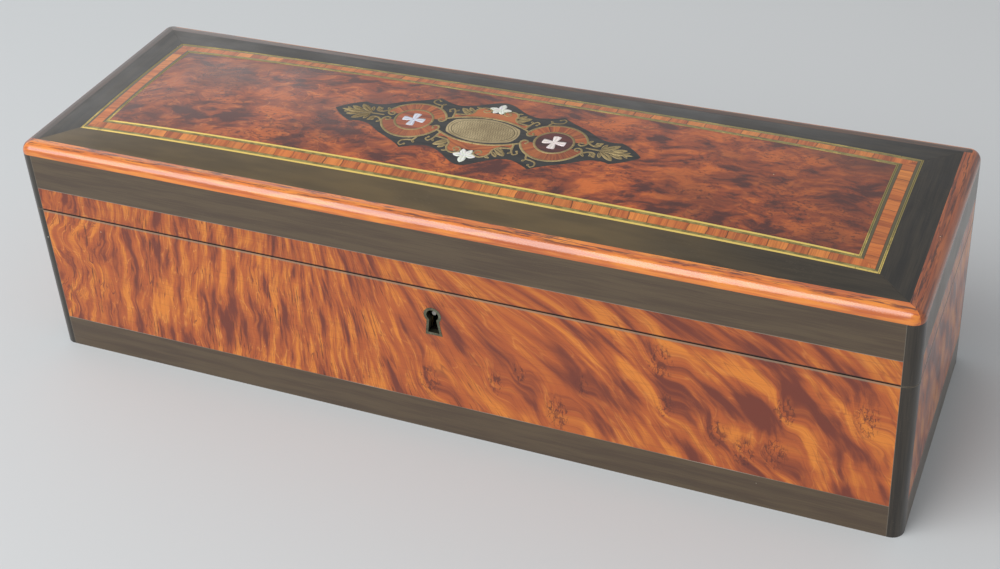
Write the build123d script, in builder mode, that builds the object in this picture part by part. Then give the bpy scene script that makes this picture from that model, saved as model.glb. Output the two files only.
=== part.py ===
"""A long glove box with a hinged, gently domed lid, veneered and inlaid.

Frame: X runs along the box, Y to the back and Z up. The origin is the centre of the underside.
Sizes are in millimetres.
"""

import os
from math import cos, radians, sin

from build123d import *

os.makedirs("parts", exist_ok=True)

# ---------------------------------------------------------------- driving sizes
length = 320.0
depth = 100.0
dome_rise = 5.8
joint_height = 61.2  # middle of the gap between case and lid
joint_gap = 0.3

wall = 8.0  # carcass boards
bottom_thickness = 5.0
top_board_underside = 80.0
top_board_thickness = 4.0  # at its edge, under the moulding
veneer = 0.9
glue_line = 0.05  # under the domed veneers
mitre_gap = 0.04

band_height = 12.9  # ebonised band round the foot
lid_burr_top = 70.3
moulding_width = 5.5
moulding_height = 4.0
moulding_round = 3.7
post_size = 5.0
post_round = 4.2

# ---- lid top, from the outside in
string_width = 0.8
outer_string_x = 143.4  # half sizes of the outer brass string
outer_string_y = 34.0
crossband_x = 6.2  # width of the crossband at the ends
crossband_y = 5.4  # and along the long sides

# ---- cartouche
medallion_offset = 26.2  # from the middle of the lid to each medallion
medallion_round = 11.8
disc_round = 6.4
ring_width = 0.7
star_offset = 16.2
plate_half_x = 13.2
plate_half_y = 7.5
plate_shoulder = 4.2
frame_half_y = 8.6
line_width = 0.65

# ---- keyhole
key_x = 0.4
key_z = 50.3
key_head = 2.2
key_foot = 7.1  # from the head's centre down to the flat foot
key_neck_half = 1.3
key_foot_half = 2.1
escutcheon_rim = 1.0
escutcheon_thickness = 2.0
escutcheon_proud = 0.1

# ---- hinges
hinge_spacing = 200.0
hinge_width = 30.0
leaf_thickness = 1.2
leaf_reach = 8.0  # from the hinge axis in to the leaf's edge
axis_setback = 1.0  # the axis stands this far behind the back face
knuckle_round = 2.0
hinge_pin_round = 0.9
pin_clearance = 0.05
knuckle_clearance = 0.1  # endways, between the knuckles
hinge_room = 0.2  # round the knuckles and tails
tail_length = 5.4
stop_angle = 95.0

# ---- screws
screw_shank = 0.7
screw_head = 1.3
screw_head_depth = 0.6
screw_length = 5.0
screw_sides = 8
hinge_screw_spacing = 18.0
hinge_screw_inset = 5.2  # from the hinge axis
plate_screw_inset = 1.5  # from a plate's edge

# ---- lock
lock_width = 46.0
lock_height = 24.0
lock_depth = 5.9
lock_plate_thickness = 1.2
selvedge_thickness = 1.5
cap_wall = 0.6
cap_margin = 3.0  # from the lock plate's edge in to the cap
lock_room = 0.1
bolt_throw = 4.0
bolt_thickness = 1.2
hook_width = 1.8
bar_height = 2.2
bar_gap = 0.4  # below the staples
talon_reach = 4.2
talon_width = 1.5
talon_gap = 8.0
drill_pin_round = 0.8
drill_pin_reach = 6.3
bolt_end_room = 0.5  # between the open bolt's end and the cap
staple_thickness = 1.6
staple_width = 3.2
staple_drop = 6.8
staple_eye = 2.8
staple_foot = 0.8
tongue_gap = 0.4
tongue_room = 0.3
slot_room = 0.4
spring_thickness = 0.4
spring_width = 2.4

# ---- lining
lining = 1.2
floor_pad_thickness = 4.0
lid_pad_thickness = 6.0
pad_room = 0.3
lining_below_rim = 2.5

# ---------------------------------------------------------------- derived sizes
half_length = length / 2
half_depth = depth / 2
board_x = half_length - veneer
board_y = half_depth - veneer
inner_x = board_x - wall
inner_y = board_y - wall
panel_x = half_length - post_size
panel_y = half_depth - post_size
case_top = joint_height - joint_gap / 2
lid_bottom = joint_height + joint_gap / 2
moulding_foot = top_board_underside + top_board_thickness
moulding_top = moulding_foot + moulding_height  # the dome rises from here
dome_x = half_length - moulding_width
dome_y = half_depth - moulding_width
tall = 3 * moulding_top  # longer than anything that it has to cut through

hinge_y = half_depth + axis_setback
lock_front = -inner_y - lock_depth
cap_back = -inner_y - lock_plate_thickness
bolt_y = (lock_front + cap_wall + cap_back) / 2
lock_half = lock_width / 2
lock_floor = case_top - lock_height
cap_half = lock_half - cap_margin
cap_floor = lock_floor + cap_margin
selvedge_floor = case_top - selvedge_thickness


# ---------------------------------------------------------------- helpers
def save(piece, name):
    """Labels a finished piece and writes it."""
    piece.part.label = name
    export_step(piece.part, f"parts/{name}.step")


def slab(x0, x1, y0, y1, z0, z1, mode=Mode.ADD):
    """A square-edged block between two corners, in the part being built."""
    with Locations(((x0 + x1) / 2, (y0 + y1) / 2, (z0 + z1) / 2)):
        Box(abs(x1 - x0), abs(y1 - y0), abs(z1 - z0), mode=mode)


def cut(tool):
    """Takes a finished tool away from the part being built."""
    add(tool, mode=Mode.SUBTRACT)


def facing(side, z0, z1):
    """A strip of veneer between the corner posts, on the front, the back or both ends."""
    if side == "end":
        for s in (-1, 1):
            slab(s * board_x, s * half_length, -panel_y, panel_y, z0, z1)
    else:
        s = -1 if side == "front" else 1
        slab(-panel_x, panel_x, s * board_y, s * half_depth, z0, z1)


def screw(room=0.0):
    """A sunk screw with few faces, its head flush with z = 0, pointing down; room makes its hole."""
    with BuildPart(mode=Mode.PRIVATE) as piece:
        with BuildSketch():
            RegularPolygon(screw_head + room, screw_sides)
        extrude(amount=-screw_head_depth - room)
        with BuildSketch():
            RegularPolygon(screw_shank + room, screw_sides)
        extrude(amount=-screw_length - room)
    return piece.part


screw_body = screw()
screw_hole = screw(pin_clearance)
down = (0, 0, 0)
up = (180, 0, 0)
forward = (-90, 0, 0)

# ---------------------------------------------------------------- corner posts
corners = [
    (sx * (half_length - post_size / 2), sy * (half_depth - post_size / 2))
    for sx in (-1, 1)
    for sy in (-1, 1)
]

with BuildSketch() as post_squares:
    with Locations(*corners):
        Rectangle(post_size, post_size)

with BuildSketch() as footprint:
    RectangleRounded(length, depth, post_round)

with BuildSketch() as post_plan:
    add(post_squares.sketch)
    add(footprint.sketch, mode=Mode.INTERSECT)

with BuildPart() as post_seats:
    extrude(to_extrude=post_squares.sketch, amount=moulding_foot)

with BuildPart() as case_corner_posts:
    extrude(to_extrude=post_plan.sketch, amount=case_top)
save(case_corner_posts, "case_corner_posts")

with BuildPart() as lid_corner_posts:
    with Locations((0, 0, lid_bottom)):
        add(extrude(to_extrude=post_plan.sketch, amount=moulding_foot - lid_bottom, mode=Mode.PRIVATE))
save(lid_corner_posts, "lid_corner_posts")


# ---------------------------------------------------------------- keyhole
def keyhole(head, foot, neck_half, foot_half, y_front, y_back):
    """A prism along Y: a round head over a skirt that flares to a flat foot."""
    neck = (head**2 - neck_half**2) ** 0.5
    with BuildPart(mode=Mode.PRIVATE) as prism:
        with BuildSketch(Plane((key_x, y_front, key_z), x_dir=(-1, 0, 0), z_dir=(0, 1, 0))):
            Circle(head)
            with BuildLine():
                Polyline(
                    (-neck_half, -neck),
                    (-foot_half, -foot),
                    (foot_half, -foot),
                    (neck_half, -neck),
                    close=True,
                )
            make_face()
        extrude(amount=y_back - y_front)
    return prism.part


def key_opening(y_front, y_back):
    """The clear keyhole between two depths."""
    return keyhole(key_head, key_foot, key_neck_half, key_foot_half, y_front, y_back)


def escutcheon_seat(y_front, y_back):
    """The keyhole with the escutcheon's rim round it."""
    rim = escutcheon_rim
    return keyhole(
        key_head + rim, key_foot + rim, key_neck_half + rim, key_foot_half + rim, y_front, y_back
    )


escutcheon_front = -half_depth - escutcheon_proud
escutcheon_back = escutcheon_front + escutcheon_thickness

with BuildPart() as keyhole_escutcheon:
    add(escutcheon_seat(escutcheon_front, escutcheon_back))
    cut(key_opening(-depth, 0))
save(keyhole_escutcheon, "keyhole_escutcheon")


# ---------------------------------------------------------------- hinges
def rod(radius, x0, x1):
    """A round bar along X on the hinge's own axis."""
    bar = Cylinder(radius, x1 - x0, rotation=(0, 90, 0), mode=Mode.PRIVATE)
    return Pos((x0 + x1) / 2, 0, 0) * bar


knuckle_room = knuckle_round + hinge_room
knuckle_end = hinge_width / 2
knuckle_step = hinge_width / 6


def hinge_leaf(upward):
    """One leaf on the hinge's own axis, the lid's for 1 and the case's for -1.

    The middle knuckle is the lid's and the outer two are the case's. Behind the knuckles each
    leaf ends in a bevelled tail, and the two bevels meet when the lid stands at the stop angle.
    """
    near = upward * joint_gap / 2
    far = near + upward * leaf_thickness
    bevel = radians(stop_angle / 2)
    tip_y = tail_length * cos(bevel)
    tip_z = upward * tail_length * sin(bevel)
    tail_front = hinge_room - axis_setback
    middle = (-knuckle_step + knuckle_clearance, knuckle_step - knuckle_clearance)
    left = (-knuckle_end, -knuckle_step - knuckle_clearance)
    right = (knuckle_step + knuckle_clearance, knuckle_end)
    own = [middle] if upward > 0 else [left, right]
    if upward > 0:
        free = [(-2 * knuckle_end, -knuckle_step), (knuckle_step, 2 * knuckle_end)]
    else:
        free = [(-knuckle_step, knuckle_step)]
    with BuildPart(mode=Mode.PRIVATE) as piece:
        with BuildSketch(Plane.YZ):
            with BuildLine():
                Polyline((-leaf_reach, near), (0, near), (0, far), (-leaf_reach, far), close=True)
            make_face()
            with BuildLine():
                Polyline((0, 0), (tip_y, tip_z), (tail_front, tip_z), (tail_front, 0), close=True)
            make_face()
        extrude(amount=knuckle_end, both=True)
        for x0, x1 in free:
            slab(x0, x1, -knuckle_room, knuckle_room, -knuckle_room, knuckle_room, Mode.SUBTRACT)
        for x0, x1 in own:
            add(rod(knuckle_round, x0, x1))
        cut(rod(hinge_pin_round + pin_clearance, -hinge_width, hinge_width))
        half = hinge_screw_spacing / 2
        turn = up if upward > 0 else down
        with Locations(*[Location((x, -hinge_screw_inset, near), turn) for x in (-half, half)]):
            cut(screw_hole)
    return piece.part


hinge_places = [(x, hinge_y, joint_height) for x in (-hinge_spacing / 2, hinge_spacing / 2)]
hinge_screw_xy = [
    (sx * hinge_spacing / 2 + s * hinge_screw_spacing / 2, hinge_y - hinge_screw_inset)
    for sx in (-1, 1)
    for s in (-1, 1)
]

with BuildPart() as hinge_case_leaves:
    with Locations(*hinge_places):
        add(hinge_leaf(-1))
save(hinge_case_leaves, "hinge_case_leaves")

with BuildPart() as hinge_lid_leaves:
    with Locations(*hinge_places):
        add(hinge_leaf(1))
save(hinge_lid_leaves, "hinge_lid_leaves")

with BuildPart() as hinge_pins:
    with Locations(*hinge_places):
        Cylinder(hinge_pin_round, hinge_width, rotation=(0, 90, 0))
save(hinge_pins, "hinge_pins")

with BuildPart() as hinge_case_screws:
    with Locations(*[Location((x, y, case_top), down) for x, y in hinge_screw_xy]):
        add(screw_body)
save(hinge_case_screws, "hinge_case_screws")

with BuildPart() as hinge_lid_screws:
    with Locations(*[Location((x, y, lid_bottom), up) for x, y in hinge_screw_xy]):
        add(screw_body)
save(hinge_lid_screws, "hinge_lid_screws")

# what the back boards and facings give up for the hinges and their screws
with BuildPart() as hinge_mortises:
    leaf_room = joint_gap / 2 + leaf_thickness
    for x, y, z in hinge_places:
        slab(x - knuckle_end, x + knuckle_end, y - leaf_reach, y, z - leaf_room, z + leaf_room)
        slab(
            x - knuckle_end - hinge_room,
            x + knuckle_end + hinge_room,
            y - knuckle_room,
            y + knuckle_room,
            z - knuckle_room,
            z + knuckle_room,
        )
    with Locations(*[Location((x, y, case_top), down) for x, y in hinge_screw_xy]):
        add(screw_hole)
    with Locations(*[Location((x, y, lid_bottom), up) for x, y in hinge_screw_xy]):
        add(screw_hole)

# ---------------------------------------------------------------- lock
bolt_end = cap_half - cap_wall - bolt_end_room
staple_offset = bolt_end - hook_width - bolt_throw - 2 * tongue_gap - staple_thickness / 2
staple_xs = [-staple_offset, staple_offset]
eye_foot = lid_bottom - staple_drop + staple_foot
tongue_foot = eye_foot + tongue_room
tongue_head = eye_foot + staple_eye - tongue_room
bar_head = lid_bottom - staple_drop - bar_gap
bar_foot = bar_head - bar_height

with BuildPart() as lock_plate:
    slab(-lock_half, lock_half, cap_back, -inner_y, lock_floor, case_top)
    slab(-lock_half, lock_half, lock_front, cap_back, selvedge_floor, case_top)
    for x in staple_xs:
        slot_x = staple_thickness / 2 + slot_room
        slot_y = staple_width / 2 + slot_room
        slab(
            x - slot_x,
            x + slot_x,
            bolt_y - slot_y,
            bolt_y + slot_y,
            selvedge_floor,
            case_top,
            mode=Mode.SUBTRACT,
        )
    lock_screw_places = [
        Location((s * (lock_half - plate_screw_inset), -inner_y, z), forward)
        for s in (-1, 1)
        for z in (lock_floor + cap_margin, selvedge_floor - cap_margin)
    ]
    with Locations(*lock_screw_places):
        cut(screw_hole)
save(lock_plate, "lock_plate")

with BuildPart() as lock_screws:
    with Locations(*lock_screw_places):
        add(screw_body)
save(lock_screws, "lock_screws")

with BuildPart() as lock_cap:
    slab(-cap_half, cap_half, lock_front, cap_back, cap_floor, selvedge_floor)
    slab(
        -cap_half + cap_wall,
        cap_half - cap_wall,
        lock_front + cap_wall,
        cap_back,
        cap_floor + cap_wall,
        selvedge_floor,
        mode=Mode.SUBTRACT,
    )
    cut(key_opening(-depth, 0))
save(lock_cap, "lock_cap")

with BuildPart() as drill_pin:
    with BuildSketch(Plane((key_x, cap_back, key_z), z_dir=(0, -1, 0))):
        Circle(drill_pin_round)
    extrude(amount=drill_pin_reach)
save(drill_pin, "drill_pin")

with BuildPart() as lock_bolt:
    y0 = bolt_y - bolt_thickness / 2
    y1 = bolt_y + bolt_thickness / 2
    hook_ends = [x - staple_thickness / 2 - 2 * tongue_gap - bolt_throw for x in staple_xs]
    slab(hook_ends[0] - hook_width, hook_ends[1], y0, y1, bar_foot, bar_head)
    for x in hook_ends:
        slab(x - hook_width, x, y0, y1, bar_head, tongue_head)
        slab(x, x + bolt_throw + tongue_gap, y0, y1, tongue_foot, tongue_head)
    talon_middle = key_x - bolt_throw / 2
    for s in (-1, 1):
        x = talon_middle + s * (talon_gap + talon_width) / 2
        slab(x - talon_width / 2, x + talon_width / 2, y0, y1, bar_foot - talon_reach, bar_foot)
save(lock_bolt, "lock_bolt")

with BuildPart() as detent_spring:
    rise = bar_foot - cap_floor
    wall_x = -cap_half + cap_wall + spring_thickness / 2
    with BuildSketch(Plane((0, bolt_y, 0), x_dir=(1, 0, 0), z_dir=(0, -1, 0))):
        with BuildLine():
            Line((wall_x, cap_floor + rise * 0.15), (wall_x, cap_floor + rise * 0.5))
            RadiusArc(
                (wall_x, cap_floor + rise * 0.5),
                (wall_x + rise * 0.5 - spring_thickness, bar_foot - spring_thickness),
                rise * 0.5 - spring_thickness,
            )
        trace(line_width=spring_thickness)
    extrude(amount=spring_width / 2, both=True)
save(detent_spring, "detent_spring")

with BuildPart() as link_plate:
    link_head = lid_bottom + lock_plate_thickness
    slab(-lock_half, lock_half, lock_front, -inner_y, lid_bottom, link_head)
    eye_half = bolt_thickness / 2 + tongue_room
    for x in staple_xs:
        x0 = x - staple_thickness / 2
        x1 = x + staple_thickness / 2
        slab(
            x0, x1, bolt_y - staple_width / 2, bolt_y + staple_width / 2,
            lid_bottom - staple_drop, lid_bottom,
        )
        slab(
            x0, x1, bolt_y - eye_half, bolt_y + eye_half,
            eye_foot, eye_foot + staple_eye, mode=Mode.SUBTRACT,
        )
    link_screw_places = [
        Location((s * (lock_half - 2 * plate_screw_inset), bolt_y, lid_bottom), up) for s in (-1, 1)
    ]
    with Locations(*link_screw_places):
        cut(screw_hole)
save(link_plate, "link_plate")

with BuildPart() as link_plate_screws:
    with Locations(*link_screw_places):
        add(screw_body)
save(link_plate_screws, "link_plate_screws")

# ---------------------------------------------------------------- case
with BuildPart() as bottom_board:
    slab(-board_x, board_x, -board_y, board_y, 0, bottom_thickness)
    cut(post_seats.part)
save(bottom_board, "bottom_board")

with BuildPart() as case_front_board:
    slab(-board_x, board_x, -board_y, -inner_y, bottom_thickness, case_top)
    cut(post_seats.part)
    room = lock_room
    slab(-lock_half - room, lock_half + room, cap_back - room, 0, lock_floor - room, tall, Mode.SUBTRACT)
    slab(-cap_half - room, cap_half + room, lock_front - room, 0, cap_floor - room, tall, Mode.SUBTRACT)
    slab(
        -lock_half - room, lock_half + room, lock_front - room, 0,
        selvedge_floor - room, tall, Mode.SUBTRACT,
    )
    cut(key_opening(-depth, 0))
    cut(escutcheon_seat(-depth, escutcheon_back))
    with Locations(*lock_screw_places):
        cut(screw_hole)
save(case_front_board, "case_front_board")

with BuildPart() as case_back_board:
    slab(-board_x, board_x, inner_y, board_y, bottom_thickness, case_top)
    cut(post_seats.part)
    cut(hinge_mortises.part)
save(case_back_board, "case_back_board")

for name, s in (("case_left_board", -1), ("case_right_board", 1)):
    with BuildPart() as end_board:
        slab(s * inner_x, s * board_x, -inner_y, inner_y, bottom_thickness, case_top)
    save(end_board, name)

for side in ("front", "back", "end"):
    plural = "s" if side == "end" else ""
    with BuildPart() as bottom_band:
        facing(side, 0, band_height)
    save(bottom_band, f"{side}_bottom_band{plural}")

    with BuildPart() as burr_panel:
        facing(side, band_height, case_top)
        cut(escutcheon_seat(-depth, 0))
        cut(hinge_mortises.part)
    save(burr_panel, f"{side}_burr_panel{plural}")

# ---------------------------------------------------------------- case lining
lining_x = inner_x - lining
lining_y = inner_y - lining
lining_head = case_top - lining_below_rim

with BuildPart() as floor_pad:
    slab(
        -lining_x + pad_room, lining_x - pad_room, -lining_y + pad_room, lining_y - pad_room,
        bottom_thickness, bottom_thickness + floor_pad_thickness,
    )
save(floor_pad, "floor_pad")

with BuildPart() as front_lining:
    slab(-lining_x, lining_x, -inner_y, -lining_y, bottom_thickness, lining_head)
    slab(
        -lock_half - pad_room, lock_half + pad_room, -inner_y, 0,
        lock_floor - pad_room, tall, Mode.SUBTRACT,
    )
save(front_lining, "front_lining")

with BuildPart() as back_lining:
    slab(-lining_x, lining_x, lining_y, inner_y, bottom_thickness, lining_head)
save(back_lining, "back_lining")

with BuildPart() as end_linings:
    for s in (-1, 1):
        slab(s * lining_x, s * inner_x, -inner_y, inner_y, bottom_thickness, lining_head)
save(end_linings, "end_linings")

# ---------------------------------------------------------------- lid carcass
with BuildPart() as lid_front_rim:
    slab(-board_x, board_x, -board_y, -inner_y, lid_bottom, top_board_underside)
    cut(post_seats.part)
    slab(
        -lock_half - lock_room, lock_half + lock_room, lock_front - lock_room, 0,
        0, link_head, Mode.SUBTRACT,
    )
    with Locations(*link_screw_places):
        cut(screw_hole)
save(lid_front_rim, "lid_front_rim")

with BuildPart() as lid_back_rim:
    slab(-board_x, board_x, inner_y, board_y, lid_bottom, top_board_underside)
    cut(post_seats.part)
    cut(hinge_mortises.part)
save(lid_back_rim, "lid_back_rim")

for name, s in (("lid_left_rim", -1), ("lid_right_rim", 1)):
    with BuildPart() as end_rim:
        slab(s * inner_x, s * board_x, -inner_y, inner_y, lid_bottom, top_board_underside)
    save(end_rim, name)

for side in ("front", "back", "end"):
    plural = "s" if side == "end" else ""
    with BuildPart() as burr_strip:
        facing(side, lid_bottom, lid_burr_top)
        cut(hinge_mortises.part)
    save(burr_strip, f"{side}_burr_strip{plural}")

    with BuildPart() as upper_band:
        facing(side, lid_burr_top, moulding_foot)
    save(upper_band, f"{side}_upper_band{plural}")

# ---------------------------------------------------------------- domed lid top
# The dome is one patch of third degree: its four edges lie level at the moulding's top, and the
# inner rows of control points lift its middle. The reach of the inner rows from the edges sets how
# full it is: fuller along the box than across it.
full_along = 0.3
full_across = 0.5
control_lift = dome_rise * (4 / 3) ** 2  # a cubic's middle is at 3/4 of its inner control points


def dome_face(drop):
    """The domed surface, lowered by drop."""
    xs = [-dome_x, -dome_x * (1 - full_along), dome_x * (1 - full_along), dome_x]
    ys = [-dome_y, -dome_y * (1 - full_across), dome_y * (1 - full_across), dome_y]
    inner = (1, 2)
    net = [
        [
            (x, y, moulding_top - drop + (control_lift if i in inner and j in inner else 0))
            for j, y in enumerate(ys)
        ]
        for i, x in enumerate(xs)
    ]
    return Face.make_bezier_surface(net)


with BuildPart() as veneer_sheet:
    extrude(to_extrude=dome_face(0), amount=veneer, dir=(0, 0, -1))

with BuildPart() as lid_top_board:
    slab(-board_x, board_x, -board_y, board_y, top_board_underside, moulding_foot)
    cut(post_seats.part)
    slab(-dome_x, dome_x, -dome_y, dome_y, moulding_foot, moulding_top + dome_rise)
    extrude(
        to_extrude=dome_face(veneer + glue_line),
        amount=2 * dome_rise,
        dir=(0, 0, 1),
        mode=Mode.SUBTRACT,
    )
save(lid_top_board, "lid_top_board")

with BuildPart() as moulding_ring:
    with BuildSketch(Plane.XY.offset(moulding_foot)):
        add(footprint.sketch)
    extrude(amount=moulding_height)
    fillet(moulding_ring.edges().group_by(Axis.Z)[-1], moulding_round)
    slab(-dome_x, dome_x, -dome_y, dome_y, moulding_foot, tall, Mode.SUBTRACT)


def mitred_side(side, far_x, far_y, near_x, near_y):
    """One side of a flat mitred frame, as a face on the open sketch."""
    gap = mitre_gap / 2
    with BuildLine() as outline:
        if side in ("front", "back"):
            s = -1 if side == "front" else 1
            Polyline(
                (-far_x + gap, s * far_y),
                (far_x - gap, s * far_y),
                (near_x - gap, s * near_y),
                (-near_x + gap, s * near_y),
                close=True,
            )
        else:
            s = -1 if side == "left" else 1
            Polyline(
                (s * far_x, -far_y + gap),
                (s * far_x, far_y - gap),
                (s * near_x, near_y - gap),
                (s * near_x, -near_y + gap),
                close=True,
            )
    make_face(outline.edges())


def through(plan):
    """The flat plan as a prism that stands right through the lid."""
    return extrude(to_extrude=plan, amount=tall, mode=Mode.PRIVATE)


for name, sides in (
    ("front_moulding", ["front"]),
    ("back_moulding", ["back"]),
    ("end_mouldings", ["left", "right"]),
):
    with BuildSketch() as moulding_plan:
        for side in sides:
            mitred_side(side, half_length, half_depth, dome_x, dome_y)
    with BuildPart() as moulding:
        add(moulding_ring.part)
        add(through(moulding_plan.sketch), mode=Mode.INTERSECT)
    save(moulding, name)

# ---------------------------------------------------------------- inlays of the lid top
crossband_outer_x = outer_string_x - string_width
crossband_outer_y = outer_string_y - string_width
inner_string_x = crossband_outer_x - crossband_x
inner_string_y = crossband_outer_y - crossband_y
field_x = inner_string_x - string_width
field_y = inner_string_y - string_width


def inlay(plan, name):
    """Cuts a flat plan out of the domed veneer, right through, and saves the piece."""
    with BuildPart() as piece:
        add(veneer_sheet.part)
        add(through(plan), mode=Mode.INTERSECT)
    save(piece, name)


with BuildSketch() as border_plan:
    for side in ("front", "back", "left", "right"):
        mitred_side(side, dome_x, dome_y, outer_string_x, outer_string_y)
inlay(border_plan.sketch, "top_border")

with BuildSketch() as string_plan:
    for side in ("front", "back", "left", "right"):
        mitred_side(side, outer_string_x, outer_string_y, crossband_outer_x, crossband_outer_y)
        mitred_side(side, inner_string_x, inner_string_y, field_x, field_y)
inlay(string_plan.sketch, "brass_strings")

with BuildSketch() as crossband_plan:
    for side in ("front", "back", "left", "right"):
        mitred_side(side, crossband_outer_x, crossband_outer_y, inner_string_x, inner_string_y)
inlay(crossband_plan.sketch, "crossband")


# ---------------------------------------------------------------- cartouche
# Every shape is drawn for the quarter at the front and right, and mirrored to the other three.
def four_ways():
    """Mirrors the open sketch from its front right quarter to all four."""
    mirror(about=Plane.XZ)
    mirror(about=Plane.YZ)


def leaf(root, tip, half_width):
    """A narrow leaf or petal from root to tip, widest at two thirds of its length."""
    start = Vector(*root)
    run = Vector(*tip) - start
    side = run.normalized().rotate(Axis.Z, 90) * half_width
    with BuildLine() as outline:
        Polyline(start, start + run * 0.65 + side, start + run, start + run * 0.65 - side, close=True)
    make_face(outline.edges())


medallion = (medallion_offset, 0)
scroll_inner = medallion_round - ring_width
scroll_middle = medallion_round - ring_width / 2
scroll_end = 14  # degrees that each C-scroll stops short of the long axis
long_scroll = [(13.7, -7.8), (8.7, -9.6), (7.2, -14.1), (3.0, -14.1)]

with BuildSketch() as ground_outline:
    with BuildLine():
        Spline((0, -21.6), (3.2, -20.6), (7, -17.9), (11.5, -15.2), (16, -14.4), (19.6, -15.6), (23.6, -17.7))
        Spline((23.6, -17.7), (26.6, -15.4), (31, -13), (36, -10.2), (40, -7.4), (43.8, -6.3), (48, -7))
        Spline((48, -7), (52, -4.7), (57, 0))
        Polyline((57, 0), (0, 0), (0, -21.6))
    make_face()
    four_ways()

with BuildSketch() as medallion_rings:
    with Locations(medallion):
        Circle(disc_round + ring_width)
        Circle(disc_round, mode=Mode.SUBTRACT)
    mirror(about=Plane.YZ)

with BuildSketch() as brass_plan:
    # the line round the central plate
    frame_end = (medallion_offset - scroll_inner, -plate_shoulder)
    with BuildLine():
        ThreePointArc((-frame_end[0], frame_end[1]), (0, -frame_half_y), frame_end)
    trace(line_width=line_width)
    # the C-scroll round the medallion
    with BuildLine():
        CenterArc(medallion, scroll_middle, scroll_end - 180, 180 - 2 * scroll_end)
    trace(line_width=ring_width)
    # the leafy spray at the end
    leaf((42.6, -0.4), (48.2, -4.8), 1.0)
    leaf((46.6, -1.4), (51.2, -2.6), 0.8)
    leaf((42.4, 0.0), (54.2, 0.0), 0.8)
    four_ways()
    add(medallion_rings.sketch)

with BuildSketch() as kingwood_plan:
    with Locations(medallion):
        Circle(scroll_inner)
        Circle(disc_round + ring_width, mode=Mode.SUBTRACT)
    with Locations(medallion):
        Rectangle(2 * medallion_round, 4.4, mode=Mode.SUBTRACT)
    with BuildLine():
        ThreePointArc((0, -frame_half_y), (6.9, -7.7), (13.4, -5.2))
        Line((13.4, -5.2), long_scroll[0])
        Spline(*long_scroll)
        Polyline(long_scroll[-1], (2.4, -12.6), (0, -12.6), (0, -frame_half_y))
    make_face()
    four_ways()

with BuildSketch() as flower_plan:
    for turn in (0, 90, 180, 270):
        way = Vector(1, 0).rotate(Axis.Z, turn)
        leaf(Vector(*medallion) - way, Vector(*medallion) + way * 4.0, 1.3)
    mirror(about=Plane.YZ)

with BuildSketch() as star_plan:
    heart = (0, -star_offset)
    leaf((0, -star_offset + 1.2), (0, -star_offset - 3.6), 1.0)
    for s in (-1, 1):
        leaf(heart, (s * 3.8, -star_offset + 0.2), 0.9)
        leaf(heart, (s * 1.5, -star_offset + 3.3), 0.8)
    mirror(about=Plane.XZ)

with BuildSketch() as plate_plan:
    with BuildLine():
        shoulder_x = plate_half_x - 1.2
        ThreePointArc((-shoulder_x, plate_shoulder), (0, plate_half_y), (shoulder_x, plate_shoulder))
        ThreePointArc((shoulder_x, plate_shoulder), (plate_half_x, 0), (shoulder_x, -plate_shoulder))
        ThreePointArc((shoulder_x, -plate_shoulder), (0, -plate_half_y), (-shoulder_x, -plate_shoulder))
        ThreePointArc((-shoulder_x, -plate_shoulder), (-plate_half_x, 0), (-shoulder_x, plate_shoulder))
    make_face()


def less(plan, *others):
    """A plan with the plans of other pieces cut out of it."""
    with BuildSketch(mode=Mode.PRIVATE) as rest:
        add(plan)
        for other in others:
            add(other, mode=Mode.SUBTRACT)
    return rest.sketch


pearls = star_plan.sketch + flower_plan.sketch
brass = less(brass_plan.sketch, pearls)
kingwood = less(kingwood_plan.sketch, brass, pearls)

with BuildSketch() as disc_plan:
    with Locations(medallion):
        Circle(disc_round)
    mirror(about=Plane.YZ)

with BuildSketch() as field_plan:
    Rectangle(2 * field_x, 2 * field_y)

inlay(pearls, "pearl_inlays")
inlay(brass, "brass_scrollwork")
inlay(kingwood, "kingwood_inlays")
inlay(less(disc_plan.sketch, pearls), "medallion_discs")
inlay(plate_plan.sketch, "engine_turned_plate")
inlay(
    less(ground_outline.sketch, brass, kingwood, disc_plan.sketch, plate_plan.sketch, pearls),
    "cartouche_ground",
)
inlay(less(field_plan.sketch, ground_outline.sketch), "burr_field")

# ---------------------------------------------------------------- lid lining
with BuildPart() as lid_pad:
    slab(
        -lining_x + pad_room, lining_x - pad_room, -lining_y + pad_room, lining_y - pad_room,
        top_board_underside - lid_pad_thickness, top_board_underside,
    )
save(lid_pad, "lid_pad")

with BuildPart() as lid_wall_lining:
    foot = lid_bottom + lining_below_rim
    slab(-inner_x, inner_x, -inner_y, inner_y, foot, top_board_underside)
    slab(-lining_x, lining_x, -lining_y, lining_y, foot, top_board_underside, Mode.SUBTRACT)
save(lid_wall_lining, "lid_wall_lining")
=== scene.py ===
# %% [markdown]
# # A French inlaid glove box
#
# The box is a long deal carcass dressed in thin veneers: burr on the case and lid, ebonised
# bands and corner posts, a glossy moulding round the lid and a marquetry cartouche on top.
# The carcass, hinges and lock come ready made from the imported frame, at their real places.
# This lesson only dresses them: it gives each piece its finish, and models what is too fine
# or too soft for the frame, such as the brass scrolls, the slotted screws and the silk pads.

import math
import random

import bmesh
import bpy
from mathutils import Matrix, Vector


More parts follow.
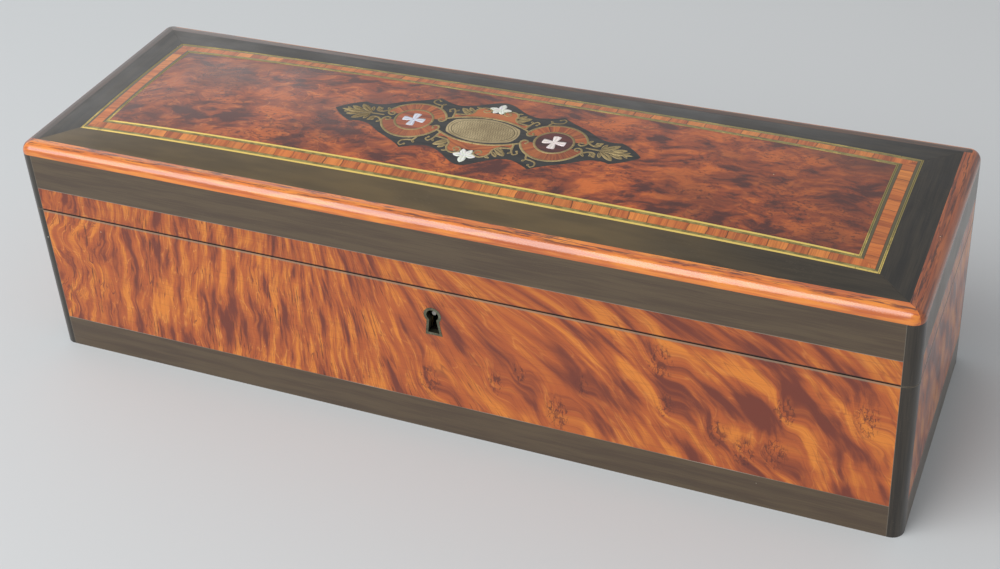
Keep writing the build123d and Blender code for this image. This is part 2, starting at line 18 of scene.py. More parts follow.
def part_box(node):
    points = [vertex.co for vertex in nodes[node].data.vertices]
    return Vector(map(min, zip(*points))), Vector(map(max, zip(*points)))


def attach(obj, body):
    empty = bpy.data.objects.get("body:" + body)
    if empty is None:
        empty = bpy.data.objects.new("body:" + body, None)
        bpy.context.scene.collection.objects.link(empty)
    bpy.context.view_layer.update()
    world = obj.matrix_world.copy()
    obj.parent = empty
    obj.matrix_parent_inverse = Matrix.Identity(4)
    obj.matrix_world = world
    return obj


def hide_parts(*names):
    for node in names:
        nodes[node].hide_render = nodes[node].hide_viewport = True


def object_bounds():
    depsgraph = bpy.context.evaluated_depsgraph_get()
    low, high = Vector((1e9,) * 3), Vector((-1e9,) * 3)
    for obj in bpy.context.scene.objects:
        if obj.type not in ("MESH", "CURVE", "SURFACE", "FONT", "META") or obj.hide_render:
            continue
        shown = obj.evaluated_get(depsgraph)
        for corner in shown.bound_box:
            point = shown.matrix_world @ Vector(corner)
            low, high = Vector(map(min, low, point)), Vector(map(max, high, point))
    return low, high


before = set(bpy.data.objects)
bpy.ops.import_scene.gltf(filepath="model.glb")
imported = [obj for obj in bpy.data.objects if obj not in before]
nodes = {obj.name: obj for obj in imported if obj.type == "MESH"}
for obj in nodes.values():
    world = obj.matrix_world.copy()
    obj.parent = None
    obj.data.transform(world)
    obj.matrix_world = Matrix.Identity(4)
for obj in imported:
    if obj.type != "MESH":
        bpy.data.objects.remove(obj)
frame_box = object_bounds()
MM = 0.001  # the frame is in metres, and a cabinet maker works in millimetres

# %% [markdown]
# ## The camera
#
# The box is seen from its front right corner, from about a third of a right angle above. A
# camera could be aimed with a tracking constraint, but its turn is simple to state outright:
# three directions, to its right, upward and forward, become the columns of its matrix.

# %% Camera
CAMERA_PLACE = Vector((0.21012, -0.43998, 0.37705))
CAMERA_RIGHT = Vector((0.91925, 0.38971, -0.05579))
CAMERA_FORWARD = Vector((-0.35424, 0.75697, -0.54910))
CAMERA_LENS = 59.22  # millimetres, on a sensor 36 wide
CAMERA_SHIFT = -0.0645  # the box sits a little below the lens's own axis

camera_data = bpy.data.cameras.new("camera")
camera_data.lens = CAMERA_LENS
camera_data.sensor_width = 36
camera_data.shift_y = CAMERA_SHIFT
camera_data.clip_start = 0.01
camera = bpy.data.objects.new("camera", camera_data)
camera_up = CAMERA_RIGHT.cross(CAMERA_FORWARD).normalized()
turn = Matrix((CAMERA_RIGHT, camera_up, -CAMERA_FORWARD)).transposed()
camera.matrix_world = Matrix.Translation(CAMERA_PLACE) @ turn.to_4x4()
bpy.context.scene.collection.objects.link(camera)
bpy.context.scene.camera = camera
bpy.context.scene.view_settings.view_transform = "Standard"
print("camera elevation", round(math.degrees(math.asin(-CAMERA_FORWARD.z)), 1), "degrees")

# %% [markdown]
# ## Writing shaders in short lines
#
# A finish is a graph of small nodes. Placing each by hand takes many lines, so a few helpers
# add a node, fill or link its sockets and hand back its output. The sums have plain names, so
# that a finish reads almost as a sentence. Colours are written as the 0 to 255 values that a
# paint program shows, and turned into the linear ones Blender uses.


# %% Helpers for shader graphs
def paint(red, green, blue):
    """A linear colour from the 0 to 255 values of a paint program."""
    def linear(value):
        value /= 255
        return value / 12.92 if value <= 0.04045 else ((value + 0.055) / 1.055) ** 2.4
    return (linear(red), linear(green), linear(blue), 1.0)


def add_node(tree, kind, inputs=None, **settings):
    """Adds a node, sets its properties, and fills or links its inputs."""
    made = tree.nodes.new(kind)
    for key, value in settings.items():
        setattr(made, key, value)
    for key, value in (inputs or {}).items():
        if isinstance(value, bpy.types.NodeSocket):
            tree.links.new(value, made.inputs[key])
        else:
            made.inputs[key].default_value = value
    return made


def maths(tree, operation, *values, clamp=False):
    """One Math node; the values are numbers or sockets."""
    made = add_node(tree, "ShaderNodeMath", dict(enumerate(values)), operation=operation)
    made.use_clamp = clamp
    return made.outputs[0]


def plus(tree, first, second):
    """The sum of two values."""
    return maths(tree, "ADD", first, second)


def minus(tree, first, second, clamp=False):
    """The first value less the second."""
    return maths(tree, "SUBTRACT", first, second, clamp=clamp)


def times(tree, first, *others):
    """All the values multiplied together."""
    for other in others:
        first = maths(tree, "MULTIPLY", first, other)
    return first


def divided(tree, first, second):
    """The first value divided by the second."""
    return maths(tree, "DIVIDE", first, second)


def larger(tree, first, second):
    """The larger of two values: two masks laid over each other."""
    return maths(tree, "MAXIMUM", first, second)


def unsigned(tree, value):
    """A value without its sign: a distance, on whichever side it lies."""
    return maths(tree, "ABSOLUTE", value)


def distance_to(tree, value, middle):
    """How far a value is from a middle one."""
    return unsigned(tree, minus(tree, value, middle))


def hypotenuse(tree, first, second):
    """The length of a slanting line from its two legs."""
    squares = [maths(tree, "POWER", leg, 2.0) for leg in (first, second)]
    return maths(tree, "SQRT", plus(tree, *squares))


# %% [markdown]
# ## Masks, noise and places
#
# A mask says where a colour goes, from 0 to 1. It comes from noise, or from the point's place on
# the box, and an eased step sharpens it. Places are in millimetres from the middle of the foot,
# so that a mark on a finish can be measured on the real box. Texture coordinates from an unwrap
# could serve too, but grain that is tied to the box runs on from piece to piece without one.


# %% Helpers for masks and places
def vector_maths(tree, operation, *values):
    """One Vector Math node."""
    made = add_node(tree, "ShaderNodeVectorMath", dict(enumerate(values)), operation=operation)
    return made.outputs[0]


def blend(tree, factor, first, second, mode="MIX"):
    """Mixes two colours by a factor."""
    made = tree.nodes.new("ShaderNodeMix")
    made.data_type = "RGBA"
    made.blend_type = mode
    for socket, value in zip((made.inputs[0], made.inputs[6], made.inputs[7]), (factor, first, second)):
        if isinstance(value, bpy.types.NodeSocket):
            tree.links.new(value, socket)
        else:
            socket.default_value = value
    return made.outputs[2]


def ease(tree, value, low, high, out_low=0.0, out_high=1.0):
    """A smooth step from out_low to out_high as value goes from low to high."""
    inputs = {"Value": value, "From Min": low, "From Max": high, "To Min": out_low, "To Max": out_high}
    return add_node(
        tree, "ShaderNodeMapRange", inputs, interpolation_type="SMOOTHSTEP"
    ).outputs[0]


def noise_at(tree, place, scale, detail=3.0, roughness=0.55, distortion=0.0):
    """Cloudy noise between 0 and 1."""
    inputs = {
        "Vector": place, "Scale": scale, "Detail": detail,
        "Roughness": roughness, "Distortion": distortion,
    }
    return add_node(tree, "ShaderNodeTexNoise", inputs).outputs["Fac"]


def stretched(tree, place, scale):
    """The place with each axis scaled by itself; a small factor makes long features."""
    return vector_maths(tree, "MULTIPLY", place, scale)


def ramp(tree, factor, *stops):
    """A colour ramp from (position, colour) stops."""
    made = add_node(tree, "ShaderNodeValToRGB", {"Fac": factor})
    elements = made.color_ramp.elements
    elements[0].position, elements[0].color = stops[0]
    elements[1].position, elements[1].color = stops[-1]
    for position, colour in stops[1:-1]:
        elements.new(position).color = colour
    return made.outputs["Color"]


def place_mm(tree):
    """The point on the piece, in millimetres from the middle of the box's foot."""
    place = add_node(tree, "ShaderNodeTexCoord").outputs["Object"]
    return vector_maths(tree, "MULTIPLY", place, (1000, 1000, 1000))


def axes(tree, place):
    """The three parts of a place."""
    return add_node(tree, "ShaderNodeSeparateXYZ", {"Vector": place}).outputs[:]


def at(tree, x=0.0, y=0.0, z=0.0):
    """A place from three parts."""
    return add_node(tree, "ShaderNodeCombineXYZ", {"X": x, "Y": y, "Z": z}).outputs[0]


# %% [markdown]
# ## Groups and materials
#
# What several finishes share, such as grain or wear, is a group of nodes with named sockets. The
# shader itself stays in each material, because an exporter can't read one inside a group.


# %% Helpers for groups and materials
def new_group(name, inputs, outputs):
    """An empty shader group with named sockets, and its inner input and output nodes."""
    tree = bpy.data.node_groups.new(name, "ShaderNodeTree")
    for label, start in inputs.items():
        if isinstance(start, tuple):
            kind = "NodeSocketColor" if len(start) == 4 else "NodeSocketVector"
        else:
            kind = "NodeSocketFloat"
        tree.interface.new_socket(label, in_out="INPUT", socket_type=kind).default_value = start
    for label, kind in outputs.items():
        tree.interface.new_socket(label, in_out="OUTPUT", socket_type=kind)
    entry = tree.nodes.new("NodeGroupInput").outputs
    leave = tree.nodes.new("NodeGroupOutput").inputs
    return tree, entry, leave


def use_group(tree, group, **inputs):
    """Places a group in a material, with its own values; spaces are written as underscores."""
    made = tree.nodes.new("ShaderNodeGroup")
    made.node_tree = group
    for key, value in inputs.items():
        socket = made.inputs[key.replace("_", " ")]
        if isinstance(value, bpy.types.NodeSocket):
            tree.links.new(value, socket)
        else:
            socket.default_value = value
    return made.outputs


def new_material(name, **plain):
    """A material with its Principled shader; plain values go on the shader's own sockets."""
    material = bpy.data.materials.new(name)
    material.use_nodes = True
    tree = material.node_tree
    skin = tree.nodes["Principled BSDF"]
    for key, value in plain.items():
        skin.inputs[key.replace("_", " ")].default_value = value
    return material, tree, skin


def feed(tree, sockets, **outputs):
    """Links outputs to named sockets; spaces are written as underscores."""
    for key, output in outputs.items():
        tree.links.new(output, sockets[key.replace("_", " ")])


def give_relief(tree, skin, height, distance, strength=1.0):
    """Feeds a height, 0 to 1, into the shader's normal as a bump this many millimetres deep."""
    inputs = {"Height": height, "Distance": distance * MM, "Strength": strength}
    bump = add_node(tree, "ShaderNodeBump", inputs)
    feed(tree, skin.inputs, Normal=bump.outputs["Normal"])


def finish_with(material, *names):
    """Gives CAD pieces this material in place of their plain one."""
    for name in names:
        for held in nodes[name].material_slots:
            held.material = material
    print(material.name, "on", ", ".join(names))


# %% [markdown]
# ## The figure of burr veneer
#
# Burr comes from the knotty swelling of a trunk, where fibres swirl round tiny buds. Cut into
# a sheet it shows flames of light and dark, thin bright ripples and dark eyes. Stretched noise
# gives the flames; a second noise pushes the first about, which makes them waver. It is a group
# because the sides and the lid are both veneered with burr, cut in different ways.


# %% Group: burr figure
def drift(tree, place, scale, reach, detail=2.0):
    """Pushes a place about by up to half the reach, so that straight features waver."""
    inputs = {"Vector": place, "Scale": scale, "Detail": detail}
    cloud = add_node(tree, "ShaderNodeTexNoise", inputs).outputs["Color"]
    centred = vector_maths(tree, "SUBTRACT", cloud, (0.5, 0.5, 0.5))
    reach_each_way = at(tree, reach, reach, 0.0)
    return vector_maths(tree, "ADD", place, vector_maths(tree, "MULTIPLY", centred, reach_each_way))


def ripple(tree, value, width):
    """Thin lines where a noise passes through its middle."""
    return ease(tree, distance_to(tree, value, 0.5), 0.0, width, 1.0, 0.0)


tree, entry, leave = new_group(
    "burr figure",
    {
        "Place": (0.0, 0.0, 0.0),
        "Flame Width": 6.0,
        "Flame Length": 4.0,
        "Swirl": 8.0,
        "Streaks": 0.4,
        "Wisps": 0.6,
        "Veins": 0.4,
        "Eye Share": 0.4,
        "Contrast": 1.0,
        "Dark": paint(96, 48, 34),
        "Middle": paint(165, 80, 38),
        "Light": paint(212, 122, 48),
        "Flare": paint(232, 150, 70),
    },
    {"Color": "NodeSocketColor", "Tone": "NodeSocketFloat"},
)
wavering = drift(tree, entry["Place"], 0.035, entry["Swirl"])
wavering = drift(tree, wavering, 0.16, times(tree, entry["Swirl"], 0.22))
across, along, layer = axes(tree, wavering)
width = entry["Flame Width"]
length = times(tree, width, entry["Flame Length"])
flame_place = at(tree, divided(tree, across, width), divided(tree, along, length), layer)
flames = noise_at(tree, flame_place, 1.0, 2.0, 0.5)
streaks = noise_at(tree, stretched(tree, flame_place, (3.1, 2.0, 1)), 1.0, 3.0, 0.6)
clouds = noise_at(tree, entry["Place"], 0.032, 2.0)
tone = maths(tree, "MULTIPLY_ADD", minus(tree, streaks, 0.5), entry["Streaks"], flames)
tone = plus(tree, tone, times(tree, minus(tree, clouds, 0.5), 0.35))
tone = maths(tree, "MULTIPLY_ADD", minus(tree, tone, 0.5), entry["Contrast"], 0.5)
colour = blend(tree, ease(tree, tone, 0.30, 0.50), entry["Dark"], entry["Middle"])
colour = blend(tree, ease(tree, tone, 0.48, 0.70), colour, entry["Light"])
wisps = ripple(tree, noise_at(tree, flame_place, 1.45, 1.0), 0.024)
wisps = times(tree, wisps, ease(tree, tone, 0.36, 0.56))
wisps = times(tree, wisps, entry["Wisps"])
colour = blend(tree, wisps, colour, entry["Flare"])
vein_place = stretched(tree, flame_place, (2.1, 0.9, 1.7))
veins = ripple(tree, noise_at(tree, vein_place, 1.0, 1.0), 0.022)
vein_patches = ease(tree, noise_at(tree, entry["Place"], 0.09, 1.0), 0.42, 0.6)
veins = times(tree, veins, vein_patches, entry["Veins"])
colour = blend(tree, veins, colour, entry["Dark"])
pores = noise_at(tree, stretched(tree, flame_place, (11.0, 1.6, 1)), 1.0, 1.0)
pores = ease(tree, pores, 0.56, 0.72, 0.0, 0.3)
colour = blend(tree, pores, colour, entry["Dark"])
buds = add_node(tree, "ShaderNodeTexVoronoi", {"Vector": wavering, "Scale": 0.085})
chosen = axes(tree, buds.outputs["Color"])[0]
chosen = maths(tree, "LESS_THAN", chosen, entry["Eye Share"])
knot = noise_at(tree, entry["Place"], 1.3, 2.0, 0.7)
near = ease(tree, buds.outputs["Distance"], 0.06, 0.26, 1.0, 0.0)
eyes = times(tree, near, chosen, ease(tree, knot, 0.40, 0.60))
colour = blend(tree, times(tree, eyes, 0.75), colour, entry["Dark"])
feed(tree, leave, Color=colour, Tone=tone)
burr_figure = tree
print("burr figure:", len(tree.nodes), "nodes")

# %% [markdown]
# ## Straight grain
#
# Ebonised fruitwood, kingwood, the moulding and the carcass boards all show straight fibres.
# Noise stretched a long way along the fibres draws them; the place that comes in has its first
# axis along the grain, so each material can turn it as its boards were cut.

# %% Group: straight grain
tree, entry, leave = new_group(
    "straight grain",
    {
        "Place": (0.0, 0.0, 0.0),
        "Fibre": 0.5,
        "Contrast": 1.0,
        "Dark": paint(40, 34, 30),
        "Light": paint(80, 70, 60),
    },
    {"Color": "NodeSocketColor", "Tone": "NodeSocketFloat"},
)
FIBRE_LENGTH = 34.0  # times its width
along, across, depth_in = axes(tree, drift(tree, entry["Place"], 0.05, 1.2))
fibre = entry["Fibre"]
fibre_place = at(
    tree,
    divided(tree, along, times(tree, fibre, FIBRE_LENGTH)),
    divided(tree, across, fibre),
    divided(tree, depth_in, fibre),
)
fibres = noise_at(tree, fibre_place, 1.0, 2.0, 0.6)
bands = noise_at(tree, stretched(tree, fibre_place, (0.4, 0.16, 0.16)), 1.0, 2.0, 0.5)
tone = maths(tree, "MULTIPLY_ADD", fibres, 0.45, times(tree, bands, 0.55))
tone = maths(tree, "MULTIPLY_ADD", minus(tree, tone, 0.5), entry["Contrast"], 0.5)
colour = blend(tree, ease(tree, tone, 0.3, 0.7), entry["Dark"], entry["Light"])
feed(tree, leave, Color=colour, Tone=tone)
straight_grain = tree
print("straight grain:", len(tree.nodes), "nodes")

# %% [markdown]
# ## Marks of age
#
# Old polish carries pale specks, hairline scratches in all directions and a dull haze where it
# has been handled. Small cells thin out to specks, and noise stretched two ways leaves hairlines.
# The group gives masks only, and each finish decides what they lighten or dull.

# %% Group: marks of age
tree, entry, leave = new_group(
    "marks of age",
    {"Place": (0.0, 0.0, 0.0), "Speck Share": 0.15, "Scratch Share": 0.5},
    {
        "Specks": "NodeSocketFloat",
        "Scratches": "NodeSocketFloat",
        "Haze": "NodeSocketFloat",
    },
)
cells = add_node(tree, "ShaderNodeTexVoronoi", {"Vector": entry["Place"], "Scale": 0.16})
chosen = maths(tree, "LESS_THAN", axes(tree, cells.outputs["Color"])[0], entry["Speck Share"])
ragged = noise_at(tree, entry["Place"], 2.6, 1.0)
size = times(tree, minus(tree, ragged, 0.2), 0.09)
speck = maths(tree, "LESS_THAN", cells.outputs["Distance"], size)
SCRATCH_WAYS = ((0.35, 5.0), (-0.9, 6.5))  # the turn of each set of scratches, and how fine it is
scratches = None
for angle, fine in SCRATCH_WAYS:
    turned = add_node(
        tree, "ShaderNodeVectorRotate",
        {"Vector": entry["Place"], "Axis": (0.4, -0.5, 0.77), "Angle": angle},
    ).outputs[0]
    line = noise_at(tree, stretched(tree, turned, (0.06, fine, fine)), 1.0, 1.0)
    patch = ease(tree, noise_at(tree, turned, 0.05, 1.0), 0.5, 0.62)
    line = times(tree, ease(tree, line, 0.69, 0.75), patch)
    scratches = line if scratches is None else larger(tree, scratches, line)
feed(
    tree, leave,
    Specks=times(tree, speck, chosen),
    Scratches=times(tree, scratches, entry["Scratch Share"]),
    Haze=noise_at(tree, entry["Place"], 0.045, 3.0, 0.6),
)
marks_of_age = tree
print("marks of age:", len(tree.nodes), "nodes")

# %% [markdown]
# ## A joint that catches the light
#
# Where two veneers meet, shrinkage opens a hair of a gap, and old glue and wax fill it with a
# pale broken line. The group takes the distance from the joint and returns that line as a mask.

# %% Group: joint line
tree, entry, leave = new_group(
    "joint line",
    {"Place": (0.0, 0.0, 0.0), "Distance": 1.0, "Width": 0.25, "Wear": 0.5},
    {"Line": "NodeSocketFloat"},
)
ragged = noise_at(tree, entry["Place"], 1.1, 3.0, 0.7)
reach = times(tree, entry["Width"], plus(tree, ragged, 0.4))
away = unsigned(tree, entry["Distance"])
line = minus(tree, 1.0, divided(tree, away, reach), clamp=True)
feed(tree, leave, Line=times(tree, maths(tree, "SQRT", line), entry["Wear"]))
joint_line = tree
print("joint line:", len(tree.nodes), "nodes")

# %% [markdown]
# ## Sizes of the box
#
# The finishes follow the box's own lines: a pale joint where burr meets band, slices across the
# crossband. These heights and half widths come from the frame, so they move with the pieces.

# %% Sizes read from the frame


def corner(name, axis, highest=True):
    """One coordinate of a piece's box, in millimetres."""
    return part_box(name)[1 if highest else 0][axis] / MM


BAND_TOP = corner("front_bottom_band", 2)
CASE_TOP = corner("case_front_board", 2)
LID_FOOT = corner("lid_front_rim", 2, False)
GAP_MIDDLE = (CASE_TOP + LID_FOOT) / 2
STRIP_TOP = corner("front_burr_strip", 2)
BAND_FOOT = corner("front_upper_band", 2, False)
PANEL_END = corner("front_burr_panel", 0)
HALF_DEPTH = corner("back_moulding", 1)
MOULDING_TOP = corner("front_moulding", 2)
DOME_X = corner("top_border", 0)
DOME_Y = corner("top_border", 1)
STRING_X = corner("brass_strings", 0)
STRING_Y = corner("brass_strings", 1)
CROSSBAND_X = corner("crossband", 0)
CROSSBAND_Y = corner("crossband", 1)
FIELD_X = corner("burr_field", 0)
FIELD_Y = corner("burr_field", 1)
STRING_WIDTH = STRING_X - CROSSBAND_X
print("band", BAND_TOP, "case", CASE_TOP, "strip", STRIP_TOP, "field", FIELD_X, FIELD_Y)

# %% [markdown]
# ## Burr on the four sides
#
# One sheet of burr was wrapped round the case, and the strip above the lid's gap was cut from
# the same sheet, so the flames run on across it. They curl at the left corner, stand narrow and
# upright beside it, where fine dark hairlines run with them, and are broad and leaning at the
# right. Adding the depth to the length unrolls the four sides into one long sheet, so a value
# that eases along it changes them.
# The knots could be left to noise too, but their places matter to the look of the front, so each
# is listed. A knot pushes the flames aside, as it did while the tree grew, and holds a
# cluster of ragged dark eyes.

# %% The sheet of burr, and its knots
KNOTS = [  # along the sheet, height, reach: clusters of dark eyes, in millimetres
    (-3, 22, 4.0), (22, 28, 3.0), (31, 33, 2.4), (44, 20, 4.4), (53, 34, 2.6), (82, 34, 3.2),
    (80, 51, 4.6), (99, 27, 3.4), (108, 21, 4.0), (118, 24, 4.4), (121, 42, 3.6), (146, 45, 4.2),
]
KNOT_NARROW = 0.6  # a knot's width, as a share of its height
KNOT_PUSH, PUSH_REACH = 1.5, 2.2  # how far it moves the flames, and from how far off, times its reach
KNOT_EDGE = 1.4  # where its eyes end, times its reach
KNOT_WOBBLE = 5.0  # how unevenly they end, in millimetres
LEAN_LEFT, LEAN_FULL, LEAN_RIGHT = -0.14, 1.0, 0.62  # how far the flames lean, as shares of the most
LEAN_STARTS, LEAN_EASES = (-70.0, 30.0), (70.0, 150.0)  # where along the sheet the lean changes
burr_sides, tree, skin = new_material(
    "burr_sides", Roughness=0.36, Coat_Weight=0.6, Coat_Roughness=0.2, Specular_IOR_Level=0.2
)
point = place_mm(tree)
x, y, z = axes(tree, point)
sheet = plus(tree, x, plus(tree, y, HALF_DEPTH))
lean = ease(tree, sheet, *LEAN_STARTS, LEAN_LEFT, LEAN_FULL)
lean = times(tree, lean, ease(tree, sheet, *LEAN_EASES, 1.0, LEAN_RIGHT))
curve = maths(tree, "MULTIPLY_ADD", z, 0.0062, 0.34)
flame_across = plus(tree, sheet, times(tree, lean, curve, z))
knotted = None
wobble = noise_at(tree, point, 0.42, 2.0)
wobble = maths(tree, "MULTIPLY_ADD", wobble, KNOT_WOBBLE, -KNOT_WOBBLE / 2)
for knot_x, knot_z, knot_reach in KNOTS:
    aside = minus(tree, sheet, knot_x)
    away = hypotenuse(tree, aside, times(tree, minus(tree, z, knot_z), KNOT_NARROW))
    push = ease(tree, away, 0.0, PUSH_REACH * knot_reach, KNOT_PUSH * knot_reach, 0.0)
    flame_across = plus(tree, flame_across, push)
    near = ease(tree, plus(tree, away, wobble), 0.2, KNOT_EDGE * knot_reach, 1.0, 0.0)
    knotted = near if knotted is None else larger(tree, knotted, near)
print(len(KNOTS), "knots on the sheet of burr")

# %% [markdown]
# ## Flames, hairlines and eyes
#
# The burr group draws the flames at the place that the knots have pushed about. Hairlines are
# noise stretched upright, kept to patches, and stronger at the left. The eyes are a ragged noise
# and thin curls, shown only inside the knots, so they need no drawing of their own. The saw left
# faint level marks, and the lid's strip is painted a little darker than the case.

# %% Colours of the burr sheet
FINE_END, BROAD_START = -60.0, 60.0  # where along the sheet the narrow flames end, and the broad start
CURLED_END = (-152.0, -118.0)  # where the curling flames at the left corner straighten
HAIRLINE_BROWN, EYE_BROWN = paint(90, 48, 32), paint(92, 46, 38)
SAW_MARK_AND_STRIP_BROWN = paint(112, 56, 40)
bolder = ease(tree, sheet, 10.0, 80.0, 0.95, 1.42)
milder = ease(tree, sheet, FINE_END, 0.0, 0.0, 0.1)
figure = use_group(
    tree, burr_figure,
    Place=at(tree, flame_across, z, 3.0),
    Flame_Width=ease(tree, sheet, FINE_END, BROAD_START, 3.8, 9.0),
    Flame_Length=ease(tree, sheet, FINE_END, BROAD_START, 5.6, 2.7),
    Swirl=ease(tree, sheet, *CURLED_END, 26.0, 8.0),
    Streaks=ease(tree, sheet, FINE_END, 20.0, 0.42, 0.3),
    Wisps=ease(tree, sheet, FINE_END, 20.0, 0.5, 0.3),
    Veins=ease(tree, sheet, FINE_END, 20.0, 0.85, 0.4),
    Eye_Share=ease(tree, sheet, 20.0, BROAD_START, 0.05, 0.14),
    Contrast=minus(tree, bolder, milder),
    Dark=paint(118, 56, 42), Middle=paint(182, 92, 46), Light=paint(222, 132, 52),
    Flare=paint(236, 156, 74),
)
burr_colour = figure["Color"]
hair_place = at(tree, times(tree, flame_across, 1.5), times(tree, z, 0.1), 9.0)
hairs = ease(tree, noise_at(tree, hair_place, 1.0, 2.0, 0.6), 0.57, 0.65)
hair_patches = noise_at(tree, stretched(tree, point, (1.0, 1.0, 0.5)), 0.11, 2.0)
hair_patches = ease(tree, hair_patches, 0.46, 0.6)
hairs = times(tree, hairs, hair_patches, ease(tree, sheet, -20.0, 50.0, 0.85, 0.2))
burr_colour = blend(tree, hairs, burr_colour, HAIRLINE_BROWN)
ragged = noise_at(tree, stretched(tree, point, (0.8, 0.8, 0.4)), 1.0, 2.0, 0.7)
curls = ripple(tree, noise_at(tree, stretched(tree, point, (0.42, 0.42, 0.22)), 1.0, 1.0), 0.04)
eyes = larger(tree, ease(tree, ragged, 0.5, 0.62), times(tree, curls, 0.8))
eyes = times(tree, eyes, ease(tree, knotted, 0.05, 0.6), 0.8)
burr_colour = blend(tree, eyes, burr_colour, EYE_BROWN)
saw_marks = noise_at(tree, stretched(tree, point, (0.03, 0.03, 2.0)), 1.0, 2.0)
on_lid = ease(tree, z, LID_FOOT, LID_FOOT + 1.0, 0.0, 0.12)
darker = plus(tree, ease(tree, saw_marks, 0.5, 0.7, 0.0, 0.16), on_lid)
burr_colour = blend(tree, darker, burr_colour, SAW_MARK_AND_STRIP_BROWN)
print("burr sheet:", len(tree.nodes), "nodes so far")

# %% [markdown]
# ## Wear and painted shadow where the lid closes
#
# The polish along the case's rim has rubbed away to a pale uneven line, and painted shadow darkens
# the edges on both sides of the gap above it. Both are masks of the height. A texture painted by hand
# would have to be redrawn if the box changed its height, and these read the rim's height from the frame.

# %% Wear and painted gap shadow on the burr sheet
EDGE_WEAR = 0.35  # the rubbed line lies this far below the case's rim
GAP_SHADOW = paint(26, 20, 16)
marks = use_group(tree, marks_of_age, Place=point, Speck_Share=0.05, Scratch_Share=0.22)
colour = blend(tree, marks["Specks"], burr_colour, paint(235, 205, 170))
colour = blend(tree, marks["Scratches"], colour, paint(226, 150, 96))
to_worn_edge = minus(tree, z, CASE_TOP - EDGE_WEAR)
worn_edge = use_group(tree, joint_line, Place=point, Distance=to_worn_edge, Width=0.62, Wear=0.75)
colour = blend(tree, worn_edge["Line"], colour, paint(146, 134, 112))
# painted shadow: the lid's lower edge and the case's rim are darkened on both sides of the gap
over_gap = ease(tree, minus(tree, z, LID_FOOT), 0.15, 0.5, 1.0, 0.0)
under_gap = ease(tree, minus(tree, CASE_TOP, z), 0.02, 0.14, 1.0, 0.0)
above_gap = times(tree, maths(tree, "GREATER_THAN", z, GAP_MIDDLE), over_gap)
below_gap = times(tree, maths(tree, "LESS_THAN", z, GAP_MIDDLE), under_gap)
gap_shadow = times(tree, larger(tree, above_gap, below_gap), 0.9)
colour = blend(tree, gap_shadow, colour, GAP_SHADOW)
gloss = ease(tree, marks["Haze"], 0.35, 0.65, 0.28, 0.42)
feed(tree, skin.inputs, Base_Color=colour, Roughness=gloss)
give_relief(tree, skin, figure["Tone"], 0.03, 0.25)
finish_with(
    burr_sides, "front_burr_panel", "front_burr_strip", "back_burr_panel", "back_burr_strip",
    "end_burr_panels", "end_burr_strips",
)

# %% [markdown]
# ## Burr on the lid
#
# The field of the lid was cut across the burr, so it is cloudier: drifts of orange among dark
# red-brown, with patches of small dark flecks where buds were cut through. It is the same group,
# with short flames and a wide swirl. Both ends are darker than the middle.

# %% Burr for the lid
LID_SHADE, FLECK_BROWN = paint(76, 42, 36), paint(74, 38, 34)
burr_lid, tree, skin = new_material(
    "burr_lid", Roughness=0.36, Coat_Weight=0.6, Coat_Roughness=0.22, Specular_IOR_Level=0.25
)
point = place_mm(tree)
x, y, z = axes(tree, point)
rising = minus(tree, y, times(tree, x, 0.12))
figure = use_group(
    tree, burr_figure,
    Place=at(tree, rising, x, 40.0), Flame_Width=10.0, Flame_Length=1.7, Swirl=15.0,
    Streaks=0.95, Wisps=ease(tree, x, -80.0, 20.0, 0.75, 0.3), Veins=0.7, Eye_Share=0.6, Contrast=1.0,
    Dark=paint(82, 42, 36), Middle=paint(150, 72, 40), Light=paint(196, 102, 46),
    Flare=paint(204, 118, 60),
)
drifts = noise_at(tree, stretched(tree, point, (0.6, 1.0, 1.0)), 0.045, 2.0)
clouded = ease(tree, drifts, 0.42, 0.66, 0.0, 0.42)
right_end = ease(tree, x, 60.0, 140.0, 0.0, 0.34)
left_end = ease(tree, x, -130.0, -40.0, 0.34, 0.0)
shade = plus(tree, plus(tree, clouded, right_end), left_end)
shaded = blend(tree, shade, figure["Color"], LID_SHADE)
flecks = noise_at(tree, stretched(tree, point, (0.75, 1.1, 1.0)), 0.85, 3.0, 0.7)
fleck_patches = ease(tree, noise_at(tree, point, 0.07, 2.0), 0.44, 0.58, 0.15, 0.75)
flecks = times(tree, ease(tree, flecks, 0.52, 0.64), fleck_patches)
shaded = blend(tree, flecks, shaded, FLECK_BROWN)
marks = use_group(tree, marks_of_age, Place=point, Speck_Share=0.08, Scratch_Share=0.3)
colour = blend(tree, marks["Specks"], shaded, paint(214, 190, 150))
colour = blend(tree, marks["Scratches"], colour, paint(190, 130, 90))
gloss = ease(tree, marks["Haze"], 0.35, 0.65, 0.26, 0.42)
feed(tree, skin.inputs, Base_Color=colour, Roughness=gloss)
give_relief(tree, skin, figure["Tone"], 0.03, 0.25)
finish_with(burr_lid, "burr_field")

# %% [markdown]
# ## Ebonised wood
#
# The bands and corner posts are pear or cherry stained black. Light and handling have turned
# the stain brown-grey on the sides, where the grain shows through, and pale chips sit along the
# bands' edges. On the lid the stain is still nearly black, apart from the front rail, which has
# faded in clouds to an olive brown as far as its mitres. One function makes all three, and takes
# the ways of the grain, the lines and the fading as smaller functions.


# %% Ebonised wood
OLIVE_BROWN, OLD_GLUE = paint(98, 81, 52), paint(172, 160, 142)


